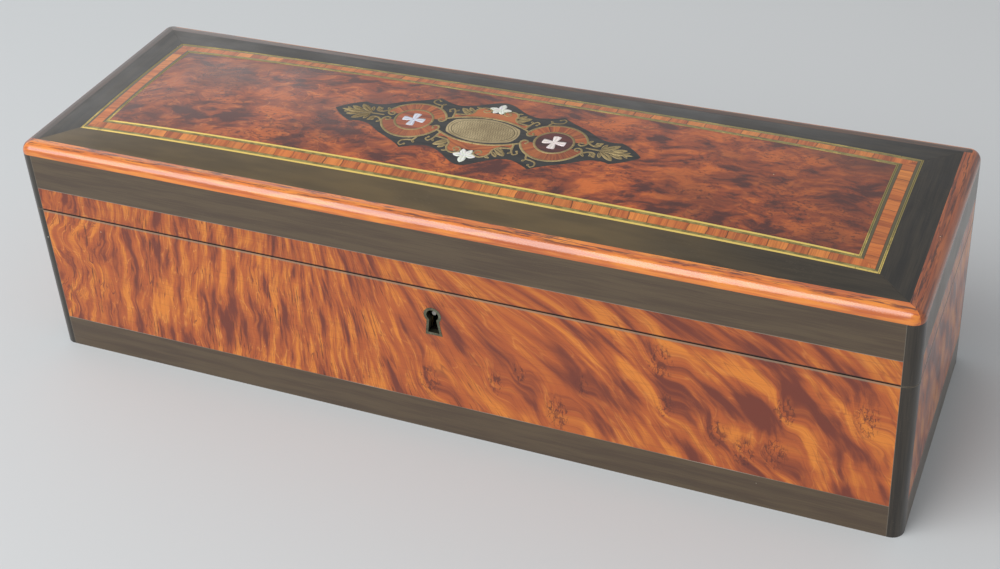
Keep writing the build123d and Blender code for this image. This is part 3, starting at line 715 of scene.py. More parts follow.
def ebonised(name, grain_place, dark, light, specks, line_distances, warm_share=None, **plain):
    """Black-stained wood whose grain runs along the first axis of the place it is given.

    warm_share, if it is given, says how far the stain has faded to olive brown.
    """
    material, tree, skin = new_material(name, **plain)
    point = place_mm(tree)
    x, y, z = axes(tree, point)
    grain = use_group(
        tree, straight_grain,
        Place=grain_place(tree, x, y, z), Fibre=0.42, Contrast=1.5, Dark=dark, Light=light,
    )
    marks = use_group(tree, marks_of_age, Place=point, Speck_Share=specks, Scratch_Share=0.3)
    colour = grain["Color"]
    if warm_share:
        colour = blend(tree, warm_share(tree, x, y, z), colour, OLIVE_BROWN)
    colour = blend(tree, ease(tree, marks["Haze"], 0.35, 0.75, 0.0, 0.12), colour, light)
    colour = blend(tree, marks["Scratches"], colour, paint(128, 112, 92))
    colour = blend(tree, marks["Specks"], colour, paint(196, 190, 176))
    for distance, width, wear in line_distances(tree, x, y, z):
        joint = use_group(tree, joint_line, Place=point, Distance=distance, Width=width, Wear=wear)
        colour = blend(tree, joint["Line"], colour, OLD_GLUE)
    gloss = ease(tree, marks["Haze"], 0.3, 0.7, 0.30, 0.46)
    feed(tree, skin.inputs, Base_Color=colour, Roughness=gloss)
    give_relief(tree, skin, grain["Tone"], 0.02, 0.35)
    return material


# %% [markdown]
# ## Where the grain turns, and where the stain has gone
#
# The grain runs along each band, up each post, and along each rail of the lid's mitred border.
# Each small function below takes a point's three parts and says which way is along the grain, or
# how far a joint is, or how much a rail has faded.


# %% Places on the ebonised pieces
def sides_grain(tree, x, y, z):
    """Grain along the band, on whichever side it lies."""
    return at(tree, plus(tree, x, y), z, 7.0)


def upright_grain(tree, x, y, z):
    """Grain up the corner posts."""
    return at(tree, z, x, y)


def past_mitre(tree, x, y):
    """1 on the two end rails of the mitred border, and 0 on the long ones."""
    end = minus(tree, unsigned(tree, x), unsigned(tree, y))
    return maths(tree, "GREATER_THAN", end, DOME_X - DOME_Y)


def lid_grain(tree, x, y, z):
    """Grain along each side of the mitred border: it turns where the ends begin."""
    at_end = past_mitre(tree, x, y)
    along = add_node(
        tree, "ShaderNodeMix",
        {0: at_end, 4: at(tree, x, y, z), 5: at(tree, y, x, z)}, data_type="VECTOR",
    )
    return along.outputs[1]


CHIP_SPREAD = 40.0  # how slowly the chips change along the bands, in millimetres


def side_joints(tree, x, y, z):
    """The pale lines where the bands meet the burr."""
    chips = noise_at(tree, at(tree, divided(tree, x, CHIP_SPREAD), y, z), 1.0)
    chipped = ease(tree, chips, 0.4, 0.7, 0.3, 1.0)
    return [
        (minus(tree, z, BAND_TOP), 0.32, chipped),
        (minus(tree, z, BAND_FOOT), 0.30, 0.6),
    ]


def post_joints(tree, x, y, z):
    """The pale lines down the inner edges of the posts."""
    return [
        (minus(tree, unsigned(tree, x), PANEL_END), 0.2, 0.45),
        (minus(tree, z, GAP_MIDDLE), 0.35, 0.5),
    ]


def no_joints(tree, x, y, z):
    """The lid's border meets the brass, which is bright enough by itself."""
    return []


def faded_front_rail(tree, x, y, z):
    """The lid's front rail has faded, from the left end nearly to the right one."""
    front = ease(tree, y, 0.2 - CROSSBAND_Y, 0.6 - CROSSBAND_Y, 1.0, 0.0)
    rail = times(tree, front, minus(tree, 1.0, past_mitre(tree, x, y)))
    cloud = noise_at(tree, stretched(tree, at(tree, x, y, z), (0.04, 0.16, 0.16)), 1.0, 2.0)
    cloud = ease(tree, cloud, 0.3, 0.7, 0.6, 0.95)
    fading = times(tree, ease(tree, x, 50.0, 125.0, 1.0, 0.15), cloud)
    return times(tree, rail, fading)


# %% Ebonised bands, posts and border
ebonised_bands = ebonised(
    "ebonised_bands", sides_grain, paint(78, 63, 49), paint(92, 77, 58), 0.06, side_joints,
    Coat_Weight=0.6, Coat_Roughness=0.28, Specular_IOR_Level=0.25,
)
# The posts are a darker copy of the bands' stain: painted shade, as the posts turn towards the shadowed
# ends of the box.
ebonised_posts = ebonised(
    "ebonised_posts", upright_grain, paint(40, 35, 29), paint(60, 53, 44), 0.06, post_joints,
    Coat_Weight=0.6, Coat_Roughness=0.24, Specular_IOR_Level=0.25,
)
ebonised_border = ebonised(
    "ebonised_border", lid_grain, paint(28, 25, 20), paint(50, 44, 34), 0.06, no_joints, faded_front_rail,
    Coat_Weight=0.35, Coat_Roughness=0.24, Specular_IOR_Level=0.4,
)
finish_with(
    ebonised_bands, "front_bottom_band", "back_bottom_band", "end_bottom_bands",
    "front_upper_band", "back_upper_band", "end_upper_bands",
)
finish_with(ebonised_posts, "case_corner_posts", "lid_corner_posts")
finish_with(ebonised_border, "top_border")

# %% [markdown]
# ## The polished moulding
#
# The rounded edge of the lid is a bright orange wood under thick french polish, streaked with
# dark fibres. The gloss is a clear coat over the wood, so its highlight stays white. The end
# pieces are a redder cut, with their grain running from front to back. The black stain of the
# border has run a little way down the inner edge of the left and back pieces.


# %% Moulding
LEFT_STAIN, BACK_STAIN = 0.4, 0.12  # how far the stain ran down these two mouldings, in millimetres
RUN_STAIN, RUN_STRENGTH = paint(48, 40, 32), 0.92


def moulding_wood(name, grain_place, dark, light, flare, streak_tone, **plain):
    """Glossy straight-grained wood with lighter flashes, and dark streaks along its inner edge."""
    material, tree, skin = new_material(
        name, Roughness=0.4, Coat_Weight=1.0, Specular_IOR_Level=0.3, **plain
    )
    point = place_mm(tree)
    x, y, z = axes(tree, point)
    place = grain_place(tree, x, y, z)
    grain = use_group(
        tree, straight_grain, Place=place, Fibre=0.7, Contrast=1.8, Dark=dark, Light=light
    )
    flash = noise_at(tree, stretched(tree, place, (0.05, 0.5, 0.5)), 1.0, 2.0)
    colour = blend(tree, ease(tree, flash, 0.45, 0.65, 0.0, 0.7), grain["Color"], flare)
    inner = minus(tree, MOULDING_TOP, z)
    streak = noise_at(tree, stretched(tree, place, (0.09, 1.2, 1.2)), 1.0, 3.0, 0.7)
    near_edge = ease(tree, inner, 0.05, 0.7, 0.9, 0.08)
    streak = times(tree, ease(tree, streak, 0.50, 0.60), near_edge)
    colour = blend(tree, streak, colour, streak_tone)
    at_left = maths(tree, "LESS_THAN", x, -DOME_X)
    at_left = times(tree, at_left, maths(tree, "GREATER_THAN", y, -DOME_Y))
    at_back = maths(tree, "GREATER_THAN", y, DOME_Y)
    runs = [
        times(tree, there, ease(tree, inner, 0.7 * reach, reach, RUN_STRENGTH, 0.0))
        for there, reach in ((at_left, LEFT_STAIN), (at_back, BACK_STAIN))
    ]
    colour = blend(tree, larger(tree, *runs), colour, RUN_STAIN)
    marks = use_group(tree, marks_of_age, Place=point, Speck_Share=0.06, Scratch_Share=0.3)
    colour = blend(tree, marks["Specks"], colour, paint(238, 214, 180))
    feed(tree, skin.inputs, Base_Color=colour)
    give_relief(tree, skin, grain["Tone"], 0.02, 0.2)
    return material


def along_x(tree, x, y, z):
    """Grain from end to end."""
    return at(tree, x, y, z)


def along_y(tree, x, y, z):
    """Grain from front to back."""
    return at(tree, y, x, z)


long_moulding = moulding_wood(
    "long_moulding", along_x,
    dark=paint(186, 86, 18), light=paint(230, 124, 26), flare=paint(242, 146, 38),
    streak_tone=paint(90, 36, 16),
    Coat_Roughness=0.18, Coat_IOR=1.75,
)
end_moulding = moulding_wood(
    "end_moulding", along_y,
    dark=paint(96, 44, 24), light=paint(160, 80, 38), flare=paint(178, 98, 48),
    streak_tone=paint(70, 34, 24),
    Coat_Roughness=0.2, Coat_IOR=1.5,
)
finish_with(long_moulding, "front_moulding", "back_moulding")
finish_with(end_moulding, "end_mouldings")

# %% [markdown]
# ## The crossband
#
# Between the two brass strings runs a band of kingwood, laid in short slices with the grain
# across it. Few neighbours have the same tone, and a dark line of glue parts them. Rounding the
# distance along the band gives each slice a number, and the number gives it a colour. A thin
# line of olive wood runs along each edge of the band, and is drawn by a function of its own.


# %% Kingwood
def kingwood(name, slice_place, slice_length, tones, edging=None):
    """Kingwood in slices; slice_place gives the ways along and across the band.

    edging, if it is given, adds what runs along the band's two edges.
    """
    material, tree, skin = new_material(
        name, Roughness=0.36, Coat_Weight=0.35, Coat_Roughness=0.2, Specular_IOR_Level=0.4
    )
    point = place_mm(tree)
    along, across = slice_place(tree, *axes(tree, point))
    wobble = times(tree, noise_at(tree, point, 0.3, 1.0), 1.2)
    steps = divided(tree, plus(tree, along, wobble), slice_length)
    number = maths(tree, "FLOOR", steps)
    dice = add_node(tree, "ShaderNodeTexWhiteNoise", {"W": number}, noise_dimensions="1D")
    luck = dice.outputs["Value"]
    base = ramp(tree, luck, *[(i / (len(tones) - 1), tone) for i, tone in enumerate(tones)])
    grain = use_group(
        tree, straight_grain,
        Place=at(tree, across, along, number), Fibre=0.3, Contrast=2.2,
        Dark=paint(92, 50, 30), Light=paint(214, 136, 66),
    )
    colour = blend(tree, 0.35, base, grain["Color"])
    into = maths(tree, "FRACT", steps)
    to_edge = maths(tree, "MINIMUM", into, minus(tree, 1.0, into))
    glue = ease(tree, times(tree, to_edge, slice_length), 0.08, 0.3, 1.0, 0.0)
    glue = times(tree, glue, ease(tree, luck, 0.25, 0.6, 0.2, 0.8))
    colour = blend(tree, glue, colour, paint(52, 34, 24))
    if edging:
        colour = edging(tree, colour, *axes(tree, point))
    marks = use_group(tree, marks_of_age, Place=point, Speck_Share=0.06, Scratch_Share=0.3)
    colour = blend(tree, marks["Specks"], colour, paint(200, 180, 140))
    feed(tree, skin.inputs, Base_Color=colour)
    give_relief(tree, skin, grain["Tone"], 0.02, 0.3)
    return material


# %% [markdown]
# ## Round the corners of the crossband
#
# At a corner the crossband turns, and its two parts meet in a mitre. A point belongs to the end
# piece if it is further out, as a share of the band's width, over the end than over the side.
# The medallions need another turn: their slices are rays, so along means round the circle.

# %% Places on the crossband and the cartouche
BAND_INNER_X = FIELD_X + STRING_WIDTH
BAND_INNER_Y = FIELD_Y + STRING_WIDTH
LINE_WIDTH, LINE_BLUR = 0.95, 0.05  # of the olive line between brass and kingwood


def into_crossband(tree, x, y):
    """How far a point is from the crossband's inner edge, over the ends and over the sides."""
    past_x = minus(tree, unsigned(tree, x), BAND_INNER_X)
    past_y = minus(tree, unsigned(tree, y), BAND_INNER_Y)
    return past_x, past_y


def in_end_piece(tree, past_x, past_y):
    """1 on the end pieces of the mitred crossband, and 0 on the long ones."""
    share_x = divided(tree, past_x, CROSSBAND_X - BAND_INNER_X)
    share_y = divided(tree, past_y, CROSSBAND_Y - BAND_INNER_Y)
    return maths(tree, "GREATER_THAN", share_x, share_y)


def crossband_lines(tree, colour, x, y, z):
    """An olive line along each edge of the crossband, with dark glue on both sides of it."""
    past_x, past_y = into_crossband(tree, x, y)
    end_piece = in_end_piece(tree, past_x, past_y)
    from_edges = [
        maths(tree, "MINIMUM", past, minus(tree, width, past))
        for past, width in ((past_x, CROSSBAND_X - BAND_INNER_X), (past_y, CROSSBAND_Y - BAND_INNER_Y))
    ]
    edge = add_node(tree, "ShaderNodeMix", {0: end_piece, 2: from_edges[1], 3: from_edges[0]}).outputs[0]
    patina = ease(tree, noise_at(tree, at(tree, x, y, z), 0.35, 3.0), 0.35, 0.65)
    olive = blend(tree, patina, paint(108, 96, 52), paint(150, 136, 78))
    olive = blend(tree, end_piece, olive, paint(88, 80, 56))
    in_line = ease(tree, edge, LINE_WIDTH - LINE_BLUR, LINE_WIDTH + LINE_BLUR, 1.0, 0.0)
    colour = blend(tree, in_line, colour, olive)
    for middle, reach in ((0.0, 0.2), (LINE_WIDTH, 0.16)):
        glue = ease(tree, distance_to(tree, edge, middle), 0.0, reach, 0.8, 0.0)
        glue = times(tree, glue, ease(tree, end_piece, 0, 1, 0.6, 1.0))
        colour = blend(tree, glue, colour, paint(40, 32, 22))
    return colour


def crossband_place(tree, x, y, z):
    """Along and across the crossband, which turns at its mitred corners."""
    at_end = in_end_piece(tree, *into_crossband(tree, x, y))
    pick = [
        add_node(tree, "ShaderNodeMix", {0: at_end, 2: first, 3: second}).outputs[0]
        for first, second in ((x, y), (y, x))
    ]
    return pick[0], pick[1]


def medallion_place(tree, x, y, z):
    """Along and across the inlays of the cartouche: rays out of each medallion."""
    from_medallion = minus(tree, unsigned(tree, x), MEDALLION_OFFSET)
    turn_by = maths(tree, "ARCTAN2", y, from_medallion)
    return times(tree, turn_by, RAY_RADIUS), hypotenuse(tree, from_medallion, y)


# %% Kingwood on the lid
MEDALLION_OFFSET = 26.2  # from the middle of the lid to each medallion
RAY_RADIUS = 9.0  # the slices round a medallion are measured on this circle
BAND_SLICE, RAY_SLICE = 6.4, 6.5  # lengths of the slices
BAND_TONES = (
    paint(160, 80, 44), paint(208, 112, 50), paint(182, 92, 46), paint(232, 142, 62), paint(150, 72, 42),
)
RAY_TONES = (paint(132, 62, 38), paint(168, 84, 42), paint(150, 70, 38))
crossband_wood = kingwood(
    "kingwood_crossband", crossband_place, BAND_SLICE, BAND_TONES, crossband_lines
)
cartouche_wood = kingwood("kingwood_cartouche", medallion_place, RAY_SLICE, RAY_TONES)
finish_with(crossband_wood, "crossband")
finish_with(cartouche_wood, "kingwood_inlays")

# %% [markdown]
# ## Brass and steel
#
# The strings and scrolls are thin brass, rubbed bright where hands reach and dull green in the
# corners. Tarnish is a mask that takes the colour towards olive and takes the shine away, so it
# is one group for all the brass, from the bright front string to the dull scrolls. The inlaid
# brass has a Metallic value below 1, so that it keeps its yellow and mirrors less of the grey
# room.

# %% Group: tarnish
tree, entry, leave = new_group(
    "tarnish",
    {
        "Place": (0.0, 0.0, 0.0),
        "Amount": 0.4,
        "Bright": paint(214, 180, 96),
        "Dull": paint(116, 104, 70),
    },
    {"Color": "NodeSocketColor", "Dullness": "NodeSocketFloat"},
)
wide = noise_at(tree, entry["Place"], 0.09, 3.0, 0.65)
fine = noise_at(tree, entry["Place"], 1.7, 2.0, 0.6)
film = maths(tree, "MULTIPLY_ADD", wide, 0.65, times(tree, fine, 0.35))
film = plus(tree, film, minus(tree, entry["Amount"], 0.5))
film = ease(tree, film, 0.32, 0.68)
feed(tree, leave, Color=blend(tree, film, entry["Bright"], entry["Dull"]), Dullness=film)
tarnish = tree
print("tarnish:", len(tree.nodes), "nodes")


# %% [markdown]
# ## From bright strings to filed steel
#
# One function makes every metal on the box. It takes the tarnish as a small function of the
# place, because the front string is rubbed bright while the back one is dull. At the ends of the
# lid an ebony line shows along the middle of the strings, and it is one more mask.


# %% Metal finishes
def brass(name, amount_of, bright, dull, rough_low, rough_high, dark_core=None, metal=1.0):
    """Brass whose tarnish can change over the piece; dark_core draws an ebony line in it."""
    material, tree, skin = new_material(name, Metallic=metal)
    point = place_mm(tree)
    x, y, z = axes(tree, point)
    amount = amount_of(tree, x, y, z)
    film = use_group(tree, tarnish, Place=point, Amount=amount, Bright=bright, Dull=dull)
    colour = film["Color"]
    if dark_core:
        colour = blend(tree, dark_core(tree, x, y, z), colour, paint(44, 38, 28))
    marks = use_group(tree, marks_of_age, Place=point, Speck_Share=0.1, Scratch_Share=0.6)
    colour = blend(tree, marks["Scratches"], colour, bright)
    gloss = ease(tree, film["Dullness"], 0.0, 1.0, rough_low, rough_high)
    feed(tree, skin.inputs, Base_Color=colour, Roughness=gloss)
    give_relief(tree, skin, noise_at(tree, point, 3.0, 2.0), 0.01, 0.3)
    return material


def string_tarnish(tree, x, y, z):
    """The front string is rubbed bright; the ends and the back are dull."""
    from_front = ease(tree, y, -STRING_Y, STRING_Y, 0.12, 0.62)
    ends = ease(tree, unsigned(tree, x), FIELD_X - 6.0, FIELD_X, 0.0, 0.35)
    return plus(tree, from_front, ends)


def string_core(tree, x, y, z):
    """The dark line that shows along the middle of the strings at the two ends."""
    over = unsigned(tree, x)
    lines = None
    for middle in (STRING_X - STRING_WIDTH / 2, FIELD_X + STRING_WIDTH / 2):
        line = ease(tree, distance_to(tree, over, middle), 0.08, 0.16, 0.6, 0.0)
        lines = line if lines is None else larger(tree, lines, line)
    return lines


def even(amount):
    """The same tarnish everywhere, before its own clouds."""
    return lambda tree, x, y, z: amount


# %% The metals of this box
string_brass = brass(
    "string_brass", string_tarnish, paint(250, 218, 120), paint(156, 142, 92), 0.3, 0.55,
    dark_core=string_core, metal=0.55,
)
scroll_brass = brass(
    "scroll_brass", even(0.55), paint(206, 182, 128), paint(148, 130, 96), 0.42, 0.6, metal=0.7
)
fitting_brass = brass(
    "fitting_brass", even(0.4), paint(202, 172, 112), paint(132, 112, 76), 0.26, 0.5
)
escutcheon_metal = brass(
    "escutcheon_metal", even(0.55), paint(150, 150, 128), paint(84, 84, 70), 0.34, 0.55
)
lock_steel = brass(
    "lock_steel", even(0.4), paint(168, 166, 160), paint(96, 88, 80), 0.28, 0.5
)
finish_with(string_brass, "brass_strings")
finish_with(
    fitting_brass, "hinge_case_leaves", "hinge_lid_leaves", "hinge_pins", "lock_plate", "link_plate"
)
finish_with(escutcheon_metal, "keyhole_escutcheon")
finish_with(lock_steel, "drill_pin", "detent_spring", "lock_bolt", "lock_cap")

# %% [markdown]
# ## The engine-turned plate
#
# The middle of the cartouche is a brass plate cut with fine wavy lines by a turning engine. A
# double border follows its rim. A sine of the place draws the cuts, and another makes them sway;
# the same wave darkens the colour and sinks the surface. Modelling hundreds of cuts would make a
# heavy mesh that looks no better from where a box is seen.

# %% Engine-turned plate
CUTS_PER_MM, SWAYS_PER_MM, SWAY = 7.0, 2.2, 1.6  # in radians
RIM_LINES = ((0.69, 0.045), (0.86, 0.03))  # share of the way out, and half the width, of each line
CUTS_START, CUTS_END = 0.62, 0.66  # share of the way out where the cuts fade
CUT_TONE = 0.42  # how dark the cuts are beside the rim's lines
PLATE_X, PLATE_Y = corner("engine_turned_plate", 0), corner("engine_turned_plate", 1)
plate_brass, tree, skin = new_material("plate_brass", Metallic=0.6)
point = place_mm(tree)
x, y, z = axes(tree, point)
film = use_group(
    tree, tarnish, Place=point, Amount=0.5, Bright=paint(208, 188, 146), Dull=paint(168, 150, 116)
)
sway = times(tree, maths(tree, "SINE", times(tree, y, SWAYS_PER_MM)), SWAY)
cuts = maths(tree, "SINE", plus(tree, times(tree, x, CUTS_PER_MM), sway))
rim_x = maths(tree, "POWER", unsigned(tree, divided(tree, x, PLATE_X)), 2.6)
rim_y = maths(tree, "POWER", divided(tree, y, PLATE_Y), 2.0)
rim = plus(tree, rim_x, rim_y)
inside = ease(tree, rim, CUTS_START, CUTS_END, 1.0, 0.0)
borders = []
for middle, half in RIM_LINES:
    away = unsigned(tree, divided(tree, minus(tree, rim, middle), half))
    borders.append(minus(tree, 1.0, away, clamp=True))
cuts = times(tree, ease(tree, cuts, -0.2, 0.8), inside)
dark = larger(tree, times(tree, cuts, CUT_TONE), larger(tree, *borders))
colour = blend(tree, dark, film["Color"], paint(70, 62, 40))
gloss = ease(tree, film["Dullness"], 0.0, 1.0, 0.42, 0.6)
feed(tree, skin.inputs, Base_Color=colour, Roughness=gloss)
give_relief(tree, skin, minus(tree, 1.0, dark), 0.05, 0.6)
finish_with(plate_brass, "engine_turned_plate")

# %% [markdown]
# ## Mother of pearl
#
# Shell shows soft bands of pink, green and blue over white. Thin-film colour could make them
# shift with the view, but so small a petal hardly shows it, so a ramp over stretched noise draws
# the bands, bluer at the left and pinker at the right.

# %% Pearl
pearl, tree, skin = new_material(
    "pearl", Roughness=0.22, Coat_Weight=0.6, Coat_Roughness=0.08, Specular_IOR_Level=0.6
)
point = place_mm(tree)
x, y, z = axes(tree, point)
layers = noise_at(tree, stretched(tree, point, (0.5, 1.3, 1.0)), 0.8, 3.0, 0.6, 1.2)
shell = ramp(
    tree, layers,
    (0.28, paint(196, 200, 214)), (0.42, paint(230, 222, 226)), (0.52, paint(216, 228, 206)),
    (0.62, paint(236, 226, 214)), (0.74, paint(206, 196, 220)),
)
left_side = ease(tree, x, -20.0, -15.0, 1.0, 0.0)
right_side = ease(tree, x, 15.0, 20.0)
colour = blend(tree, times(tree, left_side, 0.5), shell, paint(188, 192, 228))
colour = blend(tree, times(tree, right_side, 0.5), colour, paint(240, 214, 214))
marks = use_group(tree, marks_of_age, Place=point, Speck_Share=0.2, Scratch_Share=0.5)
colour = blend(tree, marks["Scratches"], colour, paint(120, 116, 104))
feed(tree, skin.inputs, Base_Color=colour)
give_relief(tree, skin, layers, 0.05, 0.4)

# %% [markdown]
# ## Ebony ground and medallion discs
#
# The brass is let into a black ground with hardly any grain, flecked where dust sits in it. The
# discs behind the two flowers are not a pair: the left is orange-brown and the right is dark
# plum-brown. One material takes both, and picks by the side it is on.

# %% Ebony ground and medallion discs
ebony, tree, skin = new_material(
    "ebony", Roughness=0.36, Coat_Weight=0.3, Coat_Roughness=0.22, Specular_IOR_Level=0.4
)
point = place_mm(tree)
grain = use_group(
    tree, straight_grain, Place=point, Fibre=0.3, Contrast=1.6,
    Dark=paint(26, 26, 26), Light=paint(48, 47, 45),
)
marks = use_group(tree, marks_of_age, Place=point, Speck_Share=0.15, Scratch_Share=0.4)
colour = blend(tree, marks["Specks"], grain["Color"], paint(150, 150, 140))
feed(tree, skin.inputs, Base_Color=colour)
give_relief(tree, skin, grain["Tone"], 0.02, 0.3)
finish_with(ebony, "cartouche_ground")

disc_wood, tree, skin = new_material(
    "disc_wood", Roughness=0.34, Coat_Weight=0.4, Coat_Roughness=0.18, Specular_IOR_Level=0.4
)
point = place_mm(tree)
x, y, z = axes(tree, point)
ORANGE_BROWN = {"Dark": paint(120, 58, 36), "Light": paint(170, 88, 46)}
PLUM_BROWN = {"Dark": paint(58, 26, 26), "Light": paint(92, 40, 34)}
left, right = [
    use_group(tree, straight_grain, Place=point, Fibre=0.35, Contrast=1.8, **tones)
    for tones in (ORANGE_BROWN, PLUM_BROWN)
]
colour = blend(tree, maths(tree, "GREATER_THAN", x, 0.0), left["Color"], right["Color"])
feed(tree, skin.inputs, Base_Color=colour)
give_relief(tree, skin, left["Tone"], 0.02, 0.3)
finish_with(disc_wood, "medallion_discs")

# %% [markdown]
# ## The carcass
#
# Inside, the boards are plain mahogany-stained deal. Only their edges show, round the rim when
# the lid stands open, and the underside when the box is turned over. Round the hole behind the
# escutcheon they are painted nearly black, as painted shade inside the keyhole.

# %% Carcass boards
KEYHOLE_HEIGHT = (corner("keyhole_escutcheon", 2) + corner("keyhole_escutcheon", 2, False)) / 2
KEYHOLE_SHADE_BESIDE, KEYHOLE_SHADE_OVER = (4.5, 6.0), (8.0, 10.0)  # how far the painted shade reaches, and fades
carcass, tree, skin = new_material(
    "carcass", Roughness=0.5, Coat_Weight=0.1, Coat_Roughness=0.3, Specular_IOR_Level=0.35
)
point = place_mm(tree)
x, y, z = axes(tree, point)
grain = use_group(
    tree, straight_grain, Place=point, Fibre=0.8, Contrast=1.7,
    Dark=paint(84, 46, 28), Light=paint(142, 88, 52),
)
marks = use_group(tree, marks_of_age, Place=point, Speck_Share=0.1, Scratch_Share=0.4)
colour = blend(tree, ease(tree, marks["Haze"], 0.4, 0.7, 0.0, 0.3), grain["Color"], paint(70, 44, 30))
colour = blend(tree, marks["Scratches"], colour, paint(176, 130, 88))
# painted shade: round the keyhole the boards are painted nearly black, because the hole is dark
beside_keyhole = ease(tree, unsigned(tree, x), *KEYHOLE_SHADE_BESIDE, 1.0, 0.0)
over_keyhole = ease(tree, distance_to(tree, z, KEYHOLE_HEIGHT), *KEYHOLE_SHADE_OVER, 1.0, 0.0)
colour = blend(tree, times(tree, beside_keyhole, over_keyhole), colour, paint(22, 16, 12))
feed(tree, skin.inputs, Base_Color=colour)
give_relief(tree, skin, grain["Tone"], 0.06, 0.4)
finish_with(
    carcass, "bottom_board", "case_front_board", "case_back_board", "case_left_board",
    "case_right_board", "lid_front_rim", "lid_back_rim", "lid_left_rim", "lid_right_rim",
    "lid_top_board",
)

# %% [markdown]
# ## The curve of the lid
#
# The lid is gently domed, so nothing laid on it can be flat. The dome is a smooth patch with
# level edges. Its height above a point could be found with a ray cast on the CAD piece, but the
# patch has a formula, which gives a smoother answer: find by halving how far along the patch the
# point lies, first along the box and then across it, and work out the height there.

# %% Height of the dome
FULL_ALONG, FULL_ACROSS = 0.3, 0.5  # how soon the dome rises from its ends, and from its sides
HALVINGS = 24
DOME_RISE = corner("engine_turned_plate", 2) - MOULDING_TOP


def share_along(distance, half, full):
    """Where a distance from the middle lies on the patch, from 0 to 1, by halving."""
    low, high = 0.0, 1.0
    reach = 3 * (1 - full)
    for _ in range(HALVINGS):
        t = (low + high) / 2
        here = half * (t**3 - (1 - t) ** 3 + reach * t * (1 - t) * (2 * t - 1))
        low, high = (t, high) if here < distance else (low, t)
    return t


def dome_height(x, y):
    """Height of the lid's surface in millimetres."""
    t = share_along(x, DOME_X, FULL_ALONG)
    s = share_along(y, DOME_Y, FULL_ACROSS)
    return MOULDING_TOP + DOME_RISE * 16 * t * (1 - t) * s * (1 - s)


print("dome at its middle", round(dome_height(0, 0), 2))
print("dome at the string", round(dome_height(STRING_X, 0), 2))

# %% [markdown]
# ## Ribbons that lie on the dome
#
# A scroll, a leaf and a petal are all the same thing: a line with a width that changes as it
# goes. One function sweeps such a ribbon over the dome, with a slight crown so that the metal
# catches the light. An engraved ribbon has a fine dark cut down its middle.


# %% Ribbon helper
PROUD = 0.03  # a ribbon stands this far above the wood
SUNK = 0.35  # and reaches this far below its surface
THINNEST = 0.02  # half the width at a ribbon's point
CUT_HALF, CUT_DEEP = 0.1, 0.16  # of the engraved line
CUT_FROM, CUT_TO = 0.12, 0.75  # where along a leaf the line starts and ends


def smooth_line(points, steps=7):
    """A smooth line through the points, a few steps between each pair (Catmull-Rom)."""
    points = [Vector(p) for p in points]
    ends = [2 * points[0] - points[1], *points, 2 * points[-1] - points[-2]]
    line = []
    for a, b, c, d in zip(ends, ends[1:], ends[2:], ends[3:]):
        bow = 2 * a - 5 * b + 4 * c - d
        twist = 3 * b - a - 3 * c + d
        for i in range(steps):
            t = i / steps
            line.append(0.5 * (2 * b + (c - a) * t + bow * t**2 + twist * t**3))
    return line + [points[-1]]


def arc_line(centre, radius, start, end, steps=40):
    """Points on an arc, from one angle to another in degrees."""
    line = []
    for i in range(steps + 1):
        turn = math.radians(start + (end - start) * i / steps)
        line.append(Vector((centre[0] + radius * math.cos(turn), centre[1] + radius * math.sin(turn))))
    return line


def ribbon(mesh, line, half_width, flip=(1, 1), engraved=False):
    """Sweeps a ribbon along a line in plan; half_width is a function of the share of its length."""
    rows, cut_rows = [], []
    for i, spot in enumerate(line):
        ahead = line[min(i + 1, len(line) - 1)] - line[max(i - 1, 0)]
        side = Vector((-ahead.y, ahead.x)).normalized()
        share = i / (len(line) - 1)
        half = max(half_width(share), THINNEST)
        profile = [(-half, -SUNK), (-half, 0.0)]
        is_cut = engraved and half > 3 * CUT_HALF and CUT_FROM < share < CUT_TO
        if is_cut:
            profile += [(-CUT_HALF, PROUD), (0.0, PROUD - CUT_DEEP), (CUT_HALF, PROUD)]
        else:
            profile += [(-half / 3, PROUD), (0.0, PROUD), (half / 3, PROUD)]
        profile += [(half, 0.0), (half, -SUNK)]
        row = []
        for across, lift in profile:
            plan = spot + side * across
            x, y = plan.x * flip[0], plan.y * flip[1]
            row.append(mesh.verts.new((x * MM, y * MM, (dome_height(x, y) + lift) * MM)))
        rows.append(row)
        if is_cut:
            cut_rows.append(row)
    for near, far in zip(rows, rows[1:]):
        for i in range(len(near)):
            j = (i + 1) % len(near)
            face = mesh.faces.new((near[i], near[j], far[j], far[i]))
            face.material_index = 1 if i in (2, 3) and near in cut_rows and far in cut_rows else 0
            face.smooth = 1 <= i <= 4
    mesh.faces.new(rows[0])
    mesh.faces.new(list(reversed(rows[-1])))


# %% [markdown]
# ## From a mesh to a piece of the box
#
# Each new piece rides on one of the moving bodies, takes a slot that names what it is made of,
# and stands for the plain CAD piece that it covers. A few widths are named here too, because
# scrolls, leaves and petals share them.


# %% Piece helper and widths
def finish_mesh(name, mesh, materials, body, replaced=()):
    """Turns a bmesh into a piece that rides on a body and stands for some CAD nodes."""
    bmesh.ops.recalc_face_normals(mesh, faces=mesh.faces)
    data = bpy.data.meshes.new(name)
    mesh.to_mesh(data)
    mesh.free()
    for material in materials:
        data.materials.append(material)
    piece = bpy.data.objects.new(name, data)
    bpy.context.scene.collection.objects.link(piece)
    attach(piece, body)
    if replaced:
        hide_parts(*replaced)
    print(f"{name}: {len(data.polygons)} faces")
    return piece


def even_width(half):
    """A line of one width with short rounded ends."""
    return lambda t: half * min(1.0, (min(t, 1 - t) * 14) ** 0.5 + 0.25)


def leaf_width(half):
    """A leaf or pointed petal, widest past its middle."""
    return lambda t: half * max(0.0, math.sin(math.pi * t**1.25)) ** 0.7


def taper(start, end):
    """A line that thins from start to end."""
    return lambda t: start + (end - start) * t


